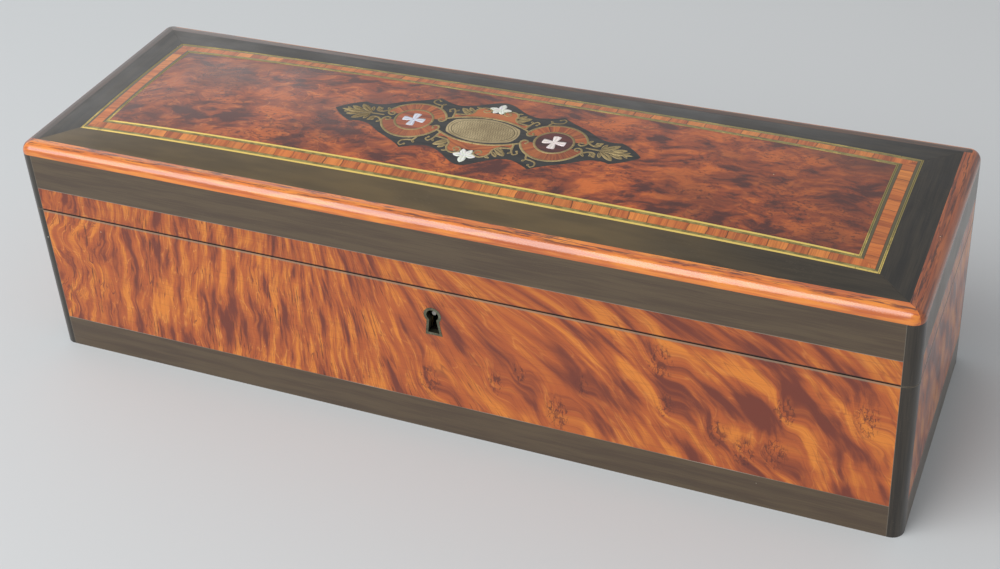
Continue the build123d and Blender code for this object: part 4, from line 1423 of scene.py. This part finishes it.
# %% [markdown]
# ## The brass scrollwork
#
# Every scroll is drawn once, for the front right quarter of the cartouche, and mirrored to the
# other three. Rings go round the medallions, C-scrolls hold them, a long scroll with acanthus
# leaves runs to the star, and a spray of leaves closes each end. The curls end in small balls.
# The outlines could be traced as curves and filled, but a ribbon keeps its crown and its cut.

# %% Brass scrollwork
RING_HALF = 0.43
OUTER_RING, INNER_RING = 11.45, 6.75  # radii round a medallion, to the middle of the brass
RING_OPENS = 14  # degrees on each side of the lid's long axis that the outer ring leaves open
CURL_HALF, CURL_TIP = 0.42, 0.26
BALL_TURN, BALL_STEPS = 340, 10  # a curl's ball is a tight ring, in degrees
LEAF_BEND = 0.03  # sideways, as a share of its length
SPRAY_ROOT, SPRAY_TIP, SPRAY_HALF = 42.2, 54.4, 1.0  # the long leaf at each end of the cartouche
STALK = (37.6, 40.0, 42.6)  # and the stalk that carries it
QUARTERS = [(sx, sy) for sx in (1, -1) for sy in (1, -1)]
medallion = (MEDALLION_OFFSET, 0.0)
frame_round_plate = [(15.2, -4.2), (10.6, -6.5), (5.4, -8.1), (0.0, -8.6)]
curls = [  # points from the middle of the lid
    [(37.2, -3.0), (36.7, -1.6), (35.6, -0.9), (34.5, -1.4), (34.7, -2.6), (35.6, -2.7)],
    [(15.2, -3.0), (15.9, -1.7), (17.0, -1.6), (17.8, -2.4), (17.3, -3.4)],
    [(36.6, -4.6), (38.4, -2.6), (40.4, -1.9), (41.8, -2.8), (41.5, -4.1), (40.4, -4.0)],
    [(20.2, -9.8), (20.9, -12.2), (22.7, -12.6), (24.5, -13.5), (24.9, -15.2), (23.9, -16.2),
     (22.8, -15.3)],
    [(13.6, -4.9), (14.0, -7.2), (14.5, -9.4), (15.7, -11.2), (16.9, -10.3), (16.3, -9.1)],
    [(14.3, -7.9), (11.6, -8.3), (9.2, -9.0), (8.0, -10.8), (7.9, -13.0), (6.6, -15.0), (4.6, -15.6),
     (2.8, -14.6), (2.7, -12.9), (4.1, -12.1), (5.2, -13.1), (4.3, -14.1)],
]
leaves = [  # root, tip, and half the width
    ((42.5, -0.3), (48.4, -4.95), 1.3), ((42.6, -1.3), (43.9, -4.4), 0.75),
    ((46.4, -1.3), (51.5, -2.7), 1.0), ((50.6, -0.6), (52.9, -1.7), 0.45),
    ((39.6, -2.4), (42.3, -4.8), 0.8), ((36.9, -3.6), (38.6, -5.2), 0.55),
    ((8.2, -9.6), (13.2, -12.9), 1.25), ((7.9, -11.4), (10.9, -14.1), 0.85),
    ((8.8, -9.0), (11.9, -10.5), 0.6), ((6.4, -14.8), (8.9, -15.3), 0.5),
    ((21.0, -12.4), (19.8, -13.8), 0.5), ((14.6, -9.6), (13.6, -11.2), 0.45),
]
scrolls = bmesh.new()
for flip in QUARTERS:
    ring = arc_line(medallion, OUTER_RING, RING_OPENS - 180, -RING_OPENS)
    ribbon(scrolls, ring, even_width(RING_HALF), flip)
    ribbon(scrolls, smooth_line(frame_round_plate), taper(RING_HALF, RING_HALF), flip)
    for curl in curls:
        ribbon(scrolls, smooth_line(curl), taper(CURL_HALF, CURL_TIP), flip)
        ball = arc_line(curl[-1], CURL_TIP, 0, BALL_TURN, BALL_STEPS)
        ribbon(scrolls, ball, taper(CURL_TIP, CURL_TIP), flip)
    for root, tip, half in leaves:
        bend = Vector((root[1] - tip[1], tip[0] - root[0])) * LEAF_BEND
        middle = (Vector(root) + Vector(tip)) / 2 + bend
        ribbon(scrolls, smooth_line([root, middle, tip]), leaf_width(half), flip, engraved=True)
for side in (1, -1):
    ring = arc_line((side * MEDALLION_OFFSET, 0), INNER_RING, 0, 360, 72)
    ribbon(scrolls, ring, taper(RING_HALF, RING_HALF))
    spray = smooth_line([(x, 0) for x in (SPRAY_ROOT, (SPRAY_ROOT + SPRAY_TIP) / 2, SPRAY_TIP)])
    ribbon(scrolls, spray, leaf_width(SPRAY_HALF), (side, 1), engraved=True)
    stalk = smooth_line([(x, 0) for x in STALK])
    ribbon(scrolls, stalk, taper(CURL_TIP, CURL_HALF), (side, 1))
engraving, tree, skin = new_material("engraving", Roughness=0.7)
soot = noise_at(tree, place_mm(tree), 2.0, 2.0)
feed(tree, skin.inputs, Base_Color=blend(tree, soot, paint(30, 28, 22), paint(64, 58, 40)))
finish_mesh("scrolls", scrolls, [scroll_brass, engraving], "lid", ["brass_scrollwork"])

# %% [markdown]
# ## The shell flowers
#
# Four round petals make the flower in each medallion, and five pointed ones make the stars at
# the front and the back. They are the same ribbons, wide and short, with a cut down each petal.


# %% Shell flowers
def round_petal(half):
    """A petal that swells to a round end."""
    def width_at(t):
        swell = 0.4 + 0.6 * math.sin(min(1.0, t * 1.5) * math.pi / 2)
        rounding = (1 - max(0.0, t - 0.7) ** 2 * 11) ** 0.5
        return half * swell * rounding
    return width_at


STAR_OFFSET = 16.2  # from the middle of the lid
PETAL_LENGTH, PETAL_HALF, PETAL_ROWS = 4.1, 1.4, 12
PETAL_STEPS = [PETAL_LENGTH * math.sin(math.pi / 2 * i / PETAL_ROWS) for i in range(PETAL_ROWS + 1)]
STAR_POINTS = [  # places from the star's heart, in millimetres, and half the width
    ([(0, 1.4), (0, -1.4), (0, -3.9)], 1.35),
    ([(0, 0), (2.0, 0.25), (4.1, 0.1)], 1.3), ([(0, 0), (0.95, 1.7), (1.6, 3.6)], 1.1),
    ([(0, 0), (-2.0, 0.25), (-4.1, 0.1)], 1.3), ([(0, 0), (-0.95, 1.7), (-1.6, 3.6)], 1.1),
]
flowers = bmesh.new()
for side in (1, -1):
    for quarter in range(4):
        way = Vector((math.cos(quarter * math.pi / 2), math.sin(quarter * math.pi / 2)))
        heart = Vector((side * MEDALLION_OFFSET, 0))
        petal = [heart + way * reach for reach in PETAL_STEPS]
        ribbon(flowers, petal, round_petal(PETAL_HALF), engraved=True)
    for spots, half in STAR_POINTS:
        point_line = smooth_line([(x, y - STAR_OFFSET) for x, y in spots])
        ribbon(flowers, point_line, leaf_width(half), (1, side), engraved=True)
finish_mesh("shell_flowers", flowers, [pearl], "lid", ["pearl_inlays"])

# %% [markdown]
# ## Slotted screws
#
# Fourteen small countersunk screws hold the hinges and the lock. A real one is turned, threaded
# and slotted, and two slots rarely point the same way. The frame holds them as plain cones, so
# their places are read from it, and each is turned again here. The slot could be cut with a
# boolean, but a strip between two pairs of rim points, pushed down, is cleaner.

# %% Turned shapes
SCREW_SIDES = 20
SCREW_HEAD_DEPTH = 1.3
SCREW_SHANK = 0.62  # of the head's radius
SCREW_ROWS = 22  # of points down the shank
POINT_SHARE, POINT_SHRINKS = 0.3, 0.8  # the last part of the shank, and how much it narrows
HEAD_ROUND, HEAD_RIM = 0.06, 0.12  # the softened edge of the head, inward and downward
THREAD_PITCH, THREAD_DEPTH, THREAD_STARTS = 0.55, 0.14, 0.1
SLOT_DEEP = 0.45
SAME_LEVEL = 0.01  # points of a CAD screw this near its end belong to that end


def turned(mesh, place, profile, sides, radius_at=None):
    """Spins a profile of (radius, height) pairs about the place's own axis; returns its top ring."""
    rings = []
    for radius, height in profile:
        ring = []
        for i in range(sides):
            angle = 2 * math.pi * i / sides
            here = radius_at(radius, height, angle) if radius_at else radius
            spot = place @ Vector((here * math.cos(angle), here * math.sin(angle), height))
            ring.append(mesh.verts.new(spot * MM))
        rings.append(ring)
    for upper, lower in zip(rings, rings[1:]):
        for i in range(sides):
            j = (i + 1) % sides
            mesh.faces.new((upper[i], lower[i], lower[j], upper[j])).smooth = True
    mesh.faces.new(list(reversed(rings[-1])))
    return rings[0]


def islands(name):
    """The separate solids of a CAD piece, each as a list of its points in millimetres."""
    mesh = bmesh.new()
    mesh.from_mesh(nodes[name].data)
    bmesh.ops.remove_doubles(mesh, verts=mesh.verts, dist=1e-6)
    left = list(mesh.verts)
    found = []
    while left:
        reached, edge = {left[0]}, [left[0]]
        while edge:
            near = {e.other_vert(v) for v in edge for e in v.link_edges} - reached
            reached |= near
            edge = list(near)
        left = [v for v in left if v not in reached]
        found.append([v.co / MM for v in reached])
    mesh.free()

    def low_corner(points):
        return tuple(round(min(p[k] for p in points), 2) for k in range(3))

    return sorted(found, key=low_corner)


# %% [markdown]
# ## A thread and a slot
#
# The thread is a ridge whose radius depends on the height and the angle together, so it winds
# down the shank without a spiral curve. It hides in the wood, and shows only if a screw is taken
# out. A seeded random turn gives each slot its own way, and the same one each time this is run.


# %% Screws
def thread(radius, height, angle):
    """A ridge that winds down the shank; the head has none."""
    if height > -SCREW_HEAD_DEPTH - THREAD_STARTS:
        return radius
    turns = -height / THREAD_PITCH + angle / (2 * math.pi)
    return radius - THREAD_DEPTH * abs(2 * (turns % 1) - 1) * min(1, radius)


def slotted_screw(mesh, points, luck):
    """One screw in the place of a plain one, whose wide end is its head."""
    low = Vector([min(p[k] for p in points) for k in range(3)])
    high = Vector([max(p[k] for p in points) for k in range(3)])
    axis = max(range(3), key=lambda k: high[k] - low[k])
    length = high[axis] - low[axis]
    head = min(high - low) / 2
    middle = (low + high) / 2
    spread = [
        max((p - middle).length for p in points if abs(p[axis] - end) < SAME_LEVEL)
        for end in (low[axis], high[axis])
    ]
    outward = Vector((0, 0, 0))
    outward[axis] = 1 if spread[1] > spread[0] else -1
    turn_by = Matrix.Rotation(luck.uniform(0, math.pi), 4, "Z")
    aim = outward.to_track_quat("Z", "Y").to_matrix().to_4x4()
    place = Matrix.Translation(middle + outward * length / 2) @ aim
    shank = head * SCREW_SHANK
    profile = [(head - HEAD_ROUND, -0.02), (head, -HEAD_RIM), (shank, -SCREW_HEAD_DEPTH)]
    for i in range(1, SCREW_ROWS + 1):
        share = i / SCREW_ROWS
        tip = 1 - POINT_SHRINKS * max(0.0, share - (1 - POINT_SHARE)) / POINT_SHARE
        profile.append((shank * tip, -SCREW_HEAD_DEPTH - (length - SCREW_HEAD_DEPTH) * share))
    rim = turned(mesh, place @ turn_by, profile, SCREW_SIDES, thread)
    half = SCREW_SIDES // 2
    mesh.faces.new(rim[:half])
    mesh.faces.new(rim[half:])
    slot = mesh.faces.new((rim[half - 1], rim[half], rim[-1], rim[0]))
    mesh.normal_update()
    sunk = bmesh.ops.extrude_discrete_faces(mesh, faces=[slot])["faces"][0]
    bmesh.ops.translate(mesh, verts=sunk.verts, vec=-outward * SLOT_DEEP * MM)


SEED = 14  # of the turns of the slots
luck = random.Random(SEED)
for name, body in (
    ("hinge_case_screws", "case"), ("lock_screws", "case"),
    ("hinge_lid_screws", "lid"), ("link_plate_screws", "lid"),
):
    screws = bmesh.new()
    for points in islands(name):
        slotted_screw(screws, points, luck)
    finish_mesh(f"{name}_slotted", screws, [lock_steel], body, [name])

# %% [markdown]
# ## Crimson silk
#
# The box is lined with crimson silk satin. Satin has long floats of thread on its face, which
# give a soft sheen along one way, and a fine rib across. The crests have faded a little, and the
# hollows keep their deep colour. Sheen on the Principled shader lightens the folds that turn away.

# %% Silk
silk, tree, skin = new_material(
    "silk", Roughness=0.45, Sheen_Weight=0.35, Sheen_Roughness=0.35, Specular_IOR_Level=0.5,
    Sheen_Tint=paint(255, 170, 160),
)
point = place_mm(tree)
x, y, z = axes(tree, point)
RIB_PITCH = 0.62  # millimetres from rib to rib
ribs = maths(tree, "SINE", times(tree, plus(tree, x, z), 2 * math.pi / RIB_PITCH))
floats = noise_at(tree, stretched(tree, point, (0.5, 3.2, 3.2)), 1.0, 2.0, 0.6)
weave = maths(tree, "MULTIPLY_ADD", ribs, 0.18, floats)
faded = noise_at(tree, point, 0.028, 4.0, 0.6)
slub = noise_at(tree, stretched(tree, point, (0.06, 2.4, 2.4)), 1.0, 2.0)
colour = blend(tree, ease(tree, faded, 0.35, 0.7), paint(126, 14, 26), paint(166, 34, 42))
colour = blend(tree, ease(tree, slub, 0.55, 0.75, 0.0, 0.35), colour, paint(190, 62, 62))
colour = blend(tree, ease(tree, weave, 0.3, 0.75, 0.35, 0.0), colour, paint(84, 6, 16))
feed(tree, skin.inputs, Base_Color=colour, Roughness=ease(tree, floats, 0.3, 0.7, 0.36, 0.54))
give_relief(tree, skin, weave, 0.05, 0.5)

# %% [markdown]
# ## Cloth over padding
#
# Pads and wall linings are both soft panels with a shaped front and a hidden back. One helper
# closes such a panel, so that it is a solid thing when it is turned over or exported.

# %% Closed cloth helper
def closed_cloth(name, columns, rows, front, back, keep=None):
    """A closed mesh: a shaped front, a back behind it, and sides between; points in millimetres."""
    spots = [(i, j) for j in range(rows + 1) for i in range(columns + 1)]
    points = [Vector(front(i, j)) * MM for i, j in spots] + [Vector(back(i, j)) * MM for i, j in spots]
    behind = len(spots)
    cells = {(i, j) for i in range(columns) for j in range(rows) if keep is None or keep(i, j)}
    faces = []
    for i, j in sorted(cells):
        a = j * (columns + 1) + i
        quad = (a, a + 1, a + columns + 2, a + columns + 1)
        faces.append(quad)
        faces.append(tuple(behind + p for p in reversed(quad)))
        for k, beside in enumerate(((i, j - 1), (i + 1, j), (i, j + 1), (i - 1, j))):
            if beside not in cells:
                p, q = quad[k], quad[(k + 1) % 4]
                faces.append((q, p, behind + p, behind + q))
    data = bpy.data.meshes.new(name)
    data.from_pydata(points, [], faces)
    mesh = bmesh.new()
    mesh.from_mesh(data)
    bmesh.ops.delete(mesh, geom=[v for v in mesh.verts if not v.link_faces], context="VERTS")
    for face in mesh.faces:
        face.smooth = True
    return mesh


# %% [markdown]
# ## Quilted pads
#
# The floor and the lid carry pads of wadding under silk, tied down at small covered buttons with
# pleats running between them in diamonds. A grid is first lifted into that shape by a formula.
# Then Blender's cloth simulation blows it up from below, with the edge and the buttons held and
# a little more silk than it needs, which makes the fine wrinkles. Back and edges come after.

# %% Shape of the quilt
CELL = 2.0  # side of a cell of cloth, in millimetres
PLEAT_X, PLEAT_Y = 37.4, 26.4  # from button to button along and across a pad
ROUNDED = 6.0  # width of the rounded edge of a pad
EDGE_SHARE = 0.35  # of its thickness that a pad keeps at its edge
LOW_SHARE = 0.42  # and at its buttons
PLEAT_FILL, PLEAT_HOLD = 0.3, 0.25  # how near the pleats the silk is held back, and how firmly
PRESSURE = 4.0
SPARE_SILK = 0.05  # how much wider the silk is than the space it fills
SIM_FRAMES = 20
MOST_RISE = 0.9  # the silk may move this far from the formula's shape, in millimetres
BUTTON = [(0.5, 1.25), (1.2, 1.05), (1.7, 0.6), (1.85, 0.1), (1.7, -0.4), (0.8, -0.7)]  # radius, height
BUTTON_SIDES = 16
CLOTH_STIFFNESS, CLOTH_QUALITY = 0.3, 6


def quilt(x, y):
    """How full the quilt is at a point: 0 along the pleats, and 1 in the middle of a diamond."""
    u, v = x / PLEAT_X + y / PLEAT_Y, x / PLEAT_X - y / PLEAT_Y
    return abs(math.sin(math.pi * u) * math.sin(math.pi * v)) ** 0.5


# %% Cloth simulation
def blown_up(name, columns, rows, points, held):
    """Runs a short cloth simulation on a grid of points; returns them moved, in millimetres."""
    data = bpy.data.meshes.new(name)
    in_row = columns + 1
    starts = [j * in_row + i for j in range(rows) for i in range(columns)]
    faces = [(a, a + 1, a + in_row + 1, a + in_row) for a in starts]
    data.from_pydata([p * MM for p in points], [], faces)
    cloth_piece = bpy.data.objects.new(name, data)
    bpy.context.scene.collection.objects.link(cloth_piece)
    group = cloth_piece.vertex_groups.new(name="held")
    for index, weight in held.items():
        group.add([index], weight, "REPLACE")
    cloth = cloth_piece.modifiers.new("cloth", "CLOTH")
    cloth.settings.vertex_group_mass = "held"
    cloth.settings.effector_weights.gravity = 0
    cloth.settings.use_pressure = True
    cloth.settings.uniform_pressure_force = PRESSURE
    cloth.settings.shrink_min = -SPARE_SILK
    cloth.settings.bending_stiffness = CLOTH_STIFFNESS
    cloth.settings.quality = CLOTH_QUALITY
    cloth.point_cache.frame_end = SIM_FRAMES
    scene = bpy.context.scene
    for number in range(1, SIM_FRAMES + 1):
        scene.frame_set(number)
    graph = bpy.context.evaluated_depsgraph_get()
    moved = bpy.data.meshes.new_from_object(cloth_piece.evaluated_get(graph))
    result = [v.co / MM for v in moved.vertices]
    scene.frame_set(1)
    bpy.data.objects.remove(cloth_piece)
    return result


# %% Quilted pads
def from_button(x, y):
    """Distance from a point to the nearest button; every second row of buttons is offset by half."""
    share_x, share_y = abs((x / PLEAT_X) % 1 - 0.5), abs((y / PLEAT_Y) % 1 - 0.5)
    return min(
        math.hypot(PLEAT_X * (0.5 - share_x), PLEAT_Y * (0.5 - share_y)),
        math.hypot(PLEAT_X * share_x, PLEAT_Y * share_y),
    )


def quilted_pad(name, node, body, facing):
    """A buttoned pad in the place of a CAD slab; facing is 1 for one that looks up, -1 for down."""
    low, high = (Vector(p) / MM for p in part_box(node))
    thick = high.z - low.z
    back_z = low.z if facing > 0 else high.z
    columns, rows = round((high.x - low.x) / CELL), round((high.y - low.y) / CELL)
    points, held = [], {}
    for j in range(rows + 1):
        for i in range(columns + 1):
            x = high.x * (2 * i / columns - 1)
            y = facing * high.y * (2 * j / rows - 1)
            to_edge = min(high.x - abs(x), high.y - abs(y), ROUNDED) / ROUNDED
            edge = EDGE_SHARE + (1 - EDGE_SHARE) * (1 - (1 - to_edge) ** 2) ** 0.5
            lift = thick * edge * (LOW_SHARE + (1 - LOW_SHARE) * quilt(x, y))
            if i in (0, columns) or j in (0, rows) or from_button(x, y) < CELL:
                held[len(points)] = 1.0
            elif quilt(x, y) < PLEAT_FILL:
                held[len(points)] = PLEAT_HOLD
            points.append(Vector((x, y, back_z + facing * lift)))
    puffed = blown_up(f"{name}_sheet", columns, rows, points, held)
    moves = [after - before for before, after in zip(points, puffed)]
    print(name, "swells by up to", round(max(move.length for move in moves), 2), "mm before its cap")
    moves = [move * min(1.0, MOST_RISE / max(move.length, 0.001)) for move in moves]
    settled = [spot + move for spot, move in zip(points, moves)]

    def back(i, j):
        flat = points[j * (columns + 1) + i].copy()
        flat.z = back_z
        return flat

    mesh = closed_cloth(name, columns, rows, lambda i, j: settled[j * (columns + 1) + i], back)
    most_i, most_j = int(2 * high.x / PLEAT_X) + 1, int(2 * high.y / PLEAT_Y) + 1
    for j in range(-most_j, most_j + 1):
        for i in range(-most_i, most_i + 1):
            x, y = i * PLEAT_X / 2, j * PLEAT_Y / 2
            if (i + j) % 2 or abs(x) > high.x - ROUNDED or abs(y) > high.y - ROUNDED:
                continue
            place = Matrix.Translation((x, y, back_z + facing * thick * LOW_SHARE))
            if facing < 0:
                place = place @ Matrix.Rotation(math.pi, 4, "X")
            mesh.faces.new(turned(mesh, place, BUTTON, BUTTON_SIDES))
    piece = finish_mesh(name, mesh, [silk], body, [node])
    piece.modifiers.new("smooth", "SUBSURF").levels = 1
    piece.modifiers["smooth"].render_levels = 1


quilted_pad("quilted_floor_pad", "floor_pad", "case", 1)
quilted_pad("quilted_lid_pad", "lid_pad", "lid", -1)

# %% [markdown]
# ## Gathered silk on the walls
#
# The walls are lined with thin card under silk that is gathered into small upright folds and
# turned over at its edges. Each panel is a closed cloth whose front moves in and out with the
# folds. They are too small to simulate; a few waves of different lengths make them uneven.

# %% Gathered linings
FOLD_PITCH = 2.3  # from fold to fold
FOLD_DEEP = 0.5
FOLD_CELL = 0.55
TURNED_OVER = 1.6  # width of the rounded edges
CARD_SHARE = 0.25  # of the lining's thickness that card takes, and as much again for wadding
PANEL_ROWS = 14
LINING_THICK = corner("end_linings", 0) - corner("front_lining", 0)


def fold(distance, height, seed):
    """Depth of the folds, 0 to 1, at a distance along the wall and a height up it."""
    wander = 0.9 * math.sin(distance / 7.1 + seed)
    wander += 0.6 * math.sin(distance / 3.3 + height / 16 + 2 * seed)
    swell = 0.65 + 0.35 * math.sin(distance / 11.7 + height / 21 + seed)
    return swell * (0.5 + 0.5 * math.sin(2 * math.pi * distance / FOLD_PITCH + wander))


def rounded(distance):
    """Rises from 0 at an edge to 1 where the edge's rounding ends."""
    share = min(max(distance, 0.0), TURNED_OVER) / TURNED_OVER
    return (1 - (1 - share) ** 2) ** 0.5


def gathered_panel(whole, axis, reach, wall, foot, head, notch=None):
    """Adds a panel along an axis, from -reach to reach, with its back on a wall to either side.

    notch, the half width and the foot of a cut-out, leaves room for the lock.
    """
    columns = round(2 * reach / FOLD_CELL)
    shares = [(1 - math.cos(math.pi * j / PANEL_ROWS)) / 2 for j in range(PANEL_ROWS + 1)]
    heights = [foot + (head - foot) * share for share in shares]

    def along_at(i):
        return reach * (2 * i / columns - 1)

    def placed(i, j, depth):
        out = wall - math.copysign(depth, wall)
        return (along_at(i), out, heights[j]) if axis == 0 else (out, along_at(i), heights[j])

    def front(i, j):
        along, height = along_at(i), heights[j]
        round_off = rounded(min(head - height, height - foot, reach - abs(along)))
        if notch:
            round_off = min(round_off, rounded(max(abs(along) - notch[0], notch[1] - height)))
        card = LINING_THICK * (CARD_SHARE + CARD_SHARE * round_off)
        return placed(i, j, card + FOLD_DEEP * fold(along, height, wall) * round_off)

    def keep(i, j):
        middle = (heights[j] + heights[j + 1]) / 2
        return not (notch and abs(along_at(i + 0.5)) < notch[0] and middle > notch[1])

    panel = closed_cloth("panel", columns, PANEL_ROWS, front, lambda i, j: placed(i, j, 0.0), keep)
    data = bpy.data.meshes.new("panel")
    panel.to_mesh(data)
    panel.free()
    whole.from_mesh(data)
    bpy.data.meshes.remove(data)


def lining(name, node, body, *panels):
    """Joins panels into one piece that stands for a CAD lining."""
    whole = bmesh.new()
    for panel in panels:
        gathered_panel(whole, *panel)
    finish_mesh(name, whole, [silk], body, [node])


# %% Linings of the case and the lid
wall_x, wall_y = corner("end_linings", 0), corner("end_linings", 1)
inside_x = corner("front_lining", 0)
LOCK_ROOM = 0.3  # round the lock plate
lock_notch = (corner("lock_plate", 0) + LOCK_ROOM, corner("lock_plate", 2, False) - LOCK_ROOM)
case_z = corner("front_lining", 2, False), corner("front_lining", 2)
lid_z = corner("lid_wall_lining", 2, False), corner("lid_wall_lining", 2)
inside_y = wall_y - LINING_THICK
print("walls of silk from", round(case_z[0], 1), "to", round(case_z[1], 1), "mm up")
lining("front_lining_silk", "front_lining", "case", (0, inside_x, -wall_y, *case_z, lock_notch))
lining("back_lining_silk", "back_lining", "case", (0, inside_x, wall_y, *case_z))
lining(
    "end_lining_silks", "end_linings", "case",
    *[(1, wall_y, side * wall_x, *case_z) for side in (1, -1)],
)
lining(
    "lid_lining_silk", "lid_wall_lining", "lid",
    *[(0, wall_x, side * wall_y, *lid_z) for side in (1, -1)],
    *[(1, inside_y, side * wall_x, *lid_z) for side in (1, -1)],
)

# %% [markdown]
# ## Floor
#
# The box stands on a broad sheet of pale grey paper, a little mottled, and painted light makes it a
# little paler at the front left, towards the lamp. It is staged, so it is part of the picture and not of
# the box.

# %% Floor
FLOOR_REACH, FLOOR_CELLS = 3.0, 40  # metres each way from the middle
floor_mesh = bmesh.new()
bmesh.ops.create_grid(floor_mesh, x_segments=FLOOR_CELLS, y_segments=FLOOR_CELLS, size=FLOOR_REACH)
floor_data = bpy.data.meshes.new("floor")
floor_mesh.to_mesh(floor_data)
floor_mesh.free()
floor = bpy.data.objects.new("floor", floor_data)
floor.location.z = frame_box[0][2]
bpy.context.scene.collection.objects.link(floor)
paper, tree, skin = new_material("paper", Roughness=0.85, Specular_IOR_Level=0.2)
place = add_node(tree, "ShaderNodeTexCoord").outputs["Object"]
x, y, z = axes(tree, place)
# painted light: the paper is painted a little paler towards the lamp at the front left
slope = plus(tree, times(tree, x, 0.7), times(tree, y, 0.6))
tone = ease(tree, slope, -0.2, 0.8)
colour = blend(tree, tone, paint(204, 207, 208), paint(200, 201, 201))
mottle = noise_at(tree, place, 3.0, 4.0)
colour = blend(tree, times(tree, mottle, 0.05), colour, paint(190, 190, 186))
feed(tree, skin.inputs, Base_Color=colour)
floor_data.materials.append(paper)

# %% [markdown]
# ## Light
#
# One large soft lamp stands in front and to the left, above the box: the long highlight on the
# front moulding is its reflection. A second, behind and to the left, is low, so that it only
# skims the lid with a grey veil. The world fills the shadows with an even grey. A picture of a
# studio could light the box too, but two lamps and a plain world are easier to change.


# %% Lamps and world
def soft_lamp(name, place, aim, width, height, watts):
    """A rectangular softbox that points at a spot."""
    data = bpy.data.lights.new(name, "AREA")
    data.shape = "RECTANGLE"
    data.size, data.size_y = width, height
    data.energy = watts
    lamp = bpy.data.objects.new(name, data)
    lamp.location = place
    lamp.rotation_euler = (Vector(aim) - Vector(place)).to_track_quat("-Z", "Y").to_euler()
    bpy.context.scene.collection.objects.link(lamp)
    print(name, "gives", watts, "watts")


soft_lamp(
    "key_lamp", place=(-0.55, -1.0, 1.2), aim=(0.0, -0.02, 0.05), width=1.3, height=1.5, watts=22.5
)
soft_lamp(
    "veil_lamp", place=(-2.0, 1.4, 1.1), aim=(-0.05, 0.0, 0.08), width=2.2, height=1.3, watts=5.0
)
WORLD_GREY, WORLD_STRENGTH = (0.80, 0.81, 0.83, 1), 0.63
world = bpy.data.worlds.new("studio")
world.use_nodes = True
bpy.context.scene.world = world
background = world.node_tree.nodes["Background"].inputs
background["Color"].default_value = WORLD_GREY
background["Strength"].default_value = WORLD_STRENGTH
